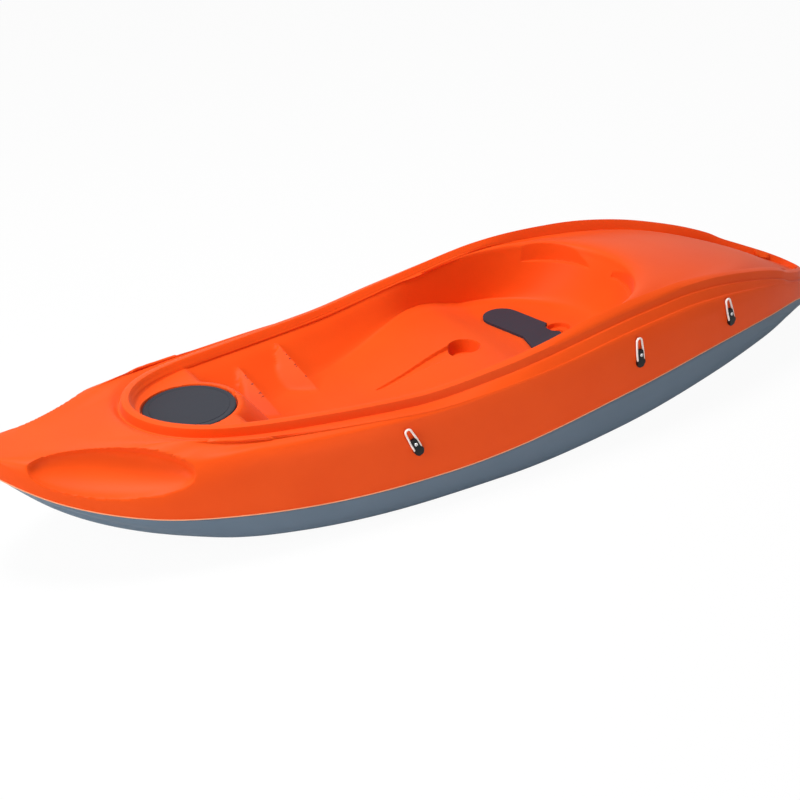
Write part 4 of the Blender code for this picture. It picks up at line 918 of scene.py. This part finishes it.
def makeKnob():
    knob, low, high = bung["knob"], bung["knobLow"], bung["knobHigh"]
    hollow = bung["dish"] * knob
    piece = turned("bung_knob", (
        (0, low + 0.0015), (hollow, low + 0.0015), (hollow + 0.0012, high), (knob - 0.0012, high),
        (knob, high - 0.0012), (knob, low), (bung["thread"], low), (bung["thread"], -bung["bushLength"] + 0.002),
        (0, -bung["bushLength"]),
    ), Matrix(), steps=4 * bung["notches"])
    for vert in piece.data.vertices:
        reach = math.hypot(vert.co.x, vert.co.y)
        if reach > knob - 0.0011 and vert.co.z > low - 0.0001:
            pull = 1 - bung["notchDepth"] * max(0, math.cos(math.atan2(vert.co.y, vert.co.x) * bung["notches"]))
            vert.co.x, vert.co.y = vert.co.x * pull, vert.co.y * pull
    bm = bmesh.new()
    bmesh.ops.create_cube(bm, size=1)
    size = Matrix.Diagonal((1.9 * hollow, bung["bar"], high - low, 1))
    bm.transform(Matrix.Translation((0, 0, (low + high) / 2)) @ size)
    upper = [edge for edge in bm.edges if min(vert.co.z for vert in edge.verts) > low + 0.001]
    bmesh.ops.bevel(bm, geom=upper, offset=0.0008, affect="EDGES", segments=3, profile=0.5, material=-1)
    bm.from_mesh(piece.data)
    bpy.data.objects.remove(piece)
    bm.transform(bungPlace)
    return finished("bung_knob", bm)


bush, knob = makeBush(), makeKnob()
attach(bush, "kayak")
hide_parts("drain_bush")
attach(knob, "drain_plug")
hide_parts("drain_bung")
print("drain bung made")


def linear(hexColour):
    parts = [int(hexColour[i:i + 2], 16) / 255 for i in (1, 3, 5)]
    return tuple(c / 12.92 if c <= 0.04045 else ((c + 0.055) / 1.055) ** 2.4 for c in parts) + (1,)


def addNode(tree, kind, settings=None, links=None, inputs=None):
    node = tree.nodes.new(kind)
    for key, value in (settings or {}).items():
        setattr(node, key, value)
    for key, value in (inputs or {}).items():
        node.inputs[key].default_value = value
    for key, source in (links or {}).items():
        tree.links.new(source, node.inputs[key])
    return node


def newMaterial(name, **sockets):
    made = bpy.data.materials.new(name)
    made.use_nodes = True
    shader = made.node_tree.nodes["Principled BSDF"]
    for key, value in sockets.items():
        shader.inputs[key].default_value = value
    return made, made.node_tree, shader


# a fine grain, scale grains to the metre, that lifts the surface and varies its roughness by spread either way
def addGrain(tree, shader, at, scale, detail, roughness, spread, strength):
    speck = addNode(tree, "ShaderNodeTexNoise", links={"Vector": at}, inputs={"Scale": scale, "Detail": detail})
    dull = addNode(tree, "ShaderNodeMapRange", links={"Value": speck.outputs["Fac"]},
                   inputs={"To Min": roughness - spread, "To Max": roughness + spread})
    tree.links.new(dull.outputs["Result"], shader.inputs["Roughness"])
    bump = addNode(tree, "ShaderNodeBump", links={"Height": speck.outputs["Fac"]},
                   inputs={"Strength": strength, "Distance": 0.0006})
    tree.links.new(bump.outputs["Normal"], shader.inputs["Normal"])


# Vacuum-formed polyethylene: an even colour with slow, faint clouding where the sheet stretched, a satin face with
# soft wide reflections and a slight pale haze at low angles, and the fine orange peel of the mould. The peel is 1.5 mm,
# drawn at 3 mm, which is 330 to the metre, so that it shows. The clouds are 200 mm, 5 to the metre.
sheet = {"clouds": 5.0, "peel": 330.0, "peelStrength": 0.10, "spread": 0.05}
sheetFace = {"IOR": 1.51, "Specular IOR Level": 0.12, "Sheen Weight": 0.06, "Sheen Roughness": 0.45}


def polyethylene(name, base, stretched, roughness):
    made, tree, shader = newMaterial(name, Roughness=roughness, **sheetFace)
    at = addNode(tree, "ShaderNodeTexCoord").outputs["Object"]
    cloud = addNode(tree, "ShaderNodeTexNoise", links={"Vector": at}, inputs={"Scale": sheet["clouds"], "Detail": 3.0})
    tint = addNode(tree, "ShaderNodeMix", {"data_type": "RGBA"}, {"Factor": cloud.outputs["Fac"]},
                   {6: linear(stretched), 7: linear(base)})
    tree.links.new(tint.outputs[2], shader.inputs["Base Color"])
    addGrain(tree, shader, at, sheet["peel"], 2.0, roughness, sheet["spread"], sheet["peelStrength"])
    return made


# a single colour with an even fine grain, given as the grain's size in metres
def grained(name, base, roughness, grain, strength, **sockets):
    made, tree, shader = newMaterial(name, Roughness=roughness, **sockets)
    if "Metallic" not in sockets:
        shader.inputs["Specular IOR Level"].default_value = 0.2
    shader.inputs["Base Color"].default_value = linear(base)
    at = addNode(tree, "ShaderNodeTexCoord").outputs["Object"]
    addGrain(tree, shader, at, 1 / grain, 3.0, roughness, 0.06, strength)
    return made


# Nylon and rubber come from moulds with a spark-eroded face, whose grain of about 1 mm dulls and spreads their
# reflections; the clips are worn smoother and shine more. The foams have open cells, so they look matt and speckled.
# Turned steel gives bright, blurred reflections. The cord's strands of 1.2 mm show as fine bumps. The welded edge's
# pale colour is a painted highlight, standing in for the light that the bead's top catches.
orange = polyethylene("formed orange polyethylene", "#EA5210", "#E2480A", 0.50)
grey = polyethylene("formed grey polyethylene", "#647483", "#5B6B7A", 0.50)
# the welded bead's pale colour is a painted highlight along the seam, not the plastic's own colour
paintedHighlightOrange = grained("welded edge with painted highlight", "#F2A478", 0.5, 0.002, 0.1)
nylon = grained("moulded dark nylon", "#22252E", 0.50, 0.0012, 0.12)
clipNylon = grained("moulded black nylon", "#101214", 0.38, 0.0012, 0.12)
rubber = grained("moulded black rubber", "#151515", 0.75, 0.0015, 0.15)
padFoam = grained("moulded dark seat foam", "#35303A", 0.85, 0.0010, 0.5)
floatFoam = grained("cut white float foam", "#DCDCD6", 0.95, 0.002, 0.5)
steel = grained("turned stainless steel", "#C8C8C8", 0.25, 0.003, 0.03, Metallic=1.0)
cord = grained("woven pale cord", "#EFE2DC", 0.85, 0.0012, 0.6)
bySlot = {"deck_plastic": orange, "hull_plastic": grey, "dark_nylon": nylon, "black_rubber": rubber,
          "pad_foam": padFoam, "float_foam": floatFoam, "steel": steel, "cord": cord}


def wear(piece, look):
    piece.data.materials.clear()
    piece.data.materials.append(look)


for item in frame["record"]["subparts"]:
    wear(nodes[item["node"]], bySlot[item["material_slot"]])
for look, pieces in ((orange, [deck, *pipes]), (grey, [hull]), (paintedHighlightOrange, [bead]), (nylon, [lid, rim, bush, knob]),
                     (rubber, [seal]), (padFoam, [seatPad]), (clipNylon, fittingBodies), (cord, fittingCords),
                     (steel, fittingScrews)):
    for piece in pieces:
        wear(piece, look)
print("materials set")


# Soft studio light from above, from the port side and from over the bow, and an even glow all round. Each light has
# its place, the point it faces, its size in metres and its power in watts.
studio = {
    "lights": {"top light": ((1.0, -0.2, 4.2), (0, 0, 0.2), 2.0, 170),
               "side light": ((-0.4, 4.2, 1.0), (-0.2, 0, 0.2), 2.0, 34),
               "bow light": ((4.4, 0.8, 2.4), (0.8, 0, 0.3), 2.0, 100)},
    "glow": 0.19, "floor": "#F0F0F0", "whiteShare": 0.95,
}


# a pale floor that the camera sees as nearly white, with the kayak's shadow on it
def makeFloor():
    bm = bmesh.new()
    bmesh.ops.create_grid(bm, x_segments=1, y_segments=1, size=30)
    bm.transform(Matrix.Translation((0, 0, -0.0005)))
    piece = finished("floor", bm)
    made, tree, shader = newMaterial("pale studio floor", Roughness=0.9)
    shader.inputs["Base Color"].default_value = linear(studio["floor"])
    shader.inputs["Specular IOR Level"].default_value = 0.1
    rays = addNode(tree, "ShaderNodeLightPath")
    glow = addNode(tree, "ShaderNodeEmission", inputs={"Color": (1, 1, 1, 1), "Strength": 1.0})
    share = addNode(tree, "ShaderNodeMath", {"operation": "MULTIPLY"}, {0: rays.outputs["Is Camera Ray"]},
                    {1: studio["whiteShare"]})
    both = addNode(tree, "ShaderNodeMixShader", links={0: share.outputs[0], 1: shader.outputs[0], 2: glow.outputs[0]})
    tree.links.new(both.outputs[0], tree.nodes["Material Output"].inputs["Surface"])
    wear(piece, made)


def areaLight(name, place, target, size, power):
    data = bpy.data.lights.new(name, "AREA")
    data.shape, data.size, data.energy = "DISK", size, power
    light = linked(name, data)
    light.location = place
    light.rotation_euler = (Vector(target) - Vector(place)).to_track_quat("-Z", "Y").to_euler()


# the world: white to the camera and to reflections, and a weak glow as light
def makeWorld(strength):
    world = bpy.data.worlds.new("studio")
    world.use_nodes = True
    tree = world.node_tree
    tree.nodes.clear()
    rays = addNode(tree, "ShaderNodeLightPath")
    seen = addNode(tree, "ShaderNodeMath", {"operation": "MAXIMUM"},
                   {0: rays.outputs["Is Camera Ray"], 1: rays.outputs["Is Glossy Ray"]})
    level = addNode(tree, "ShaderNodeMapRange", links={"Value": seen.outputs[0]},
                    inputs={"To Min": strength, "To Max": 1.0})
    shine = addNode(tree, "ShaderNodeBackground", links={"Strength": level.outputs["Result"]},
                    inputs={"Color": (1, 1, 1, 1)})
    addNode(tree, "ShaderNodeOutputWorld", links={"Surface": shine.outputs[0]})
    bpy.context.scene.world = world


# the camera fitted to the photograph: angles in degrees, lens in millimetres
view = {"place": (2.6053, 4.6671, 2.8358), "azimuth": 28.0448, "elevation": 27.0563, "roll": -3.5741, "lens": 93.93}


def makeCamera():
    a, e, r = (math.radians(view[key]) for key in ("azimuth", "elevation", "roll"))
    back = Vector((math.sin(a) * math.cos(e), math.cos(a) * math.cos(e), math.sin(e)))
    right = Vector((-math.cos(a), math.sin(a), 0))
    up = back.cross(right)
    level = math.cos(r) * right + math.sin(r) * up
    rolled = Matrix((level, back.cross(level), back)).transposed()
    lens = bpy.data.cameras.new("camera")
    lens.lens, lens.sensor_width, lens.sensor_fit = view["lens"], 36, "HORIZONTAL"
    camera = linked("camera", lens)
    camera.matrix_world = Matrix.Translation(view["place"]) @ rolled.to_4x4()
    bpy.context.scene.camera = camera


makeFloor()
for name, values in studio["lights"].items():
    areaLight(name, *values)
makeWorld(studio["glow"])
makeCamera()
bpy.context.scene.view_settings.view_transform = "Standard"
print("studio set")
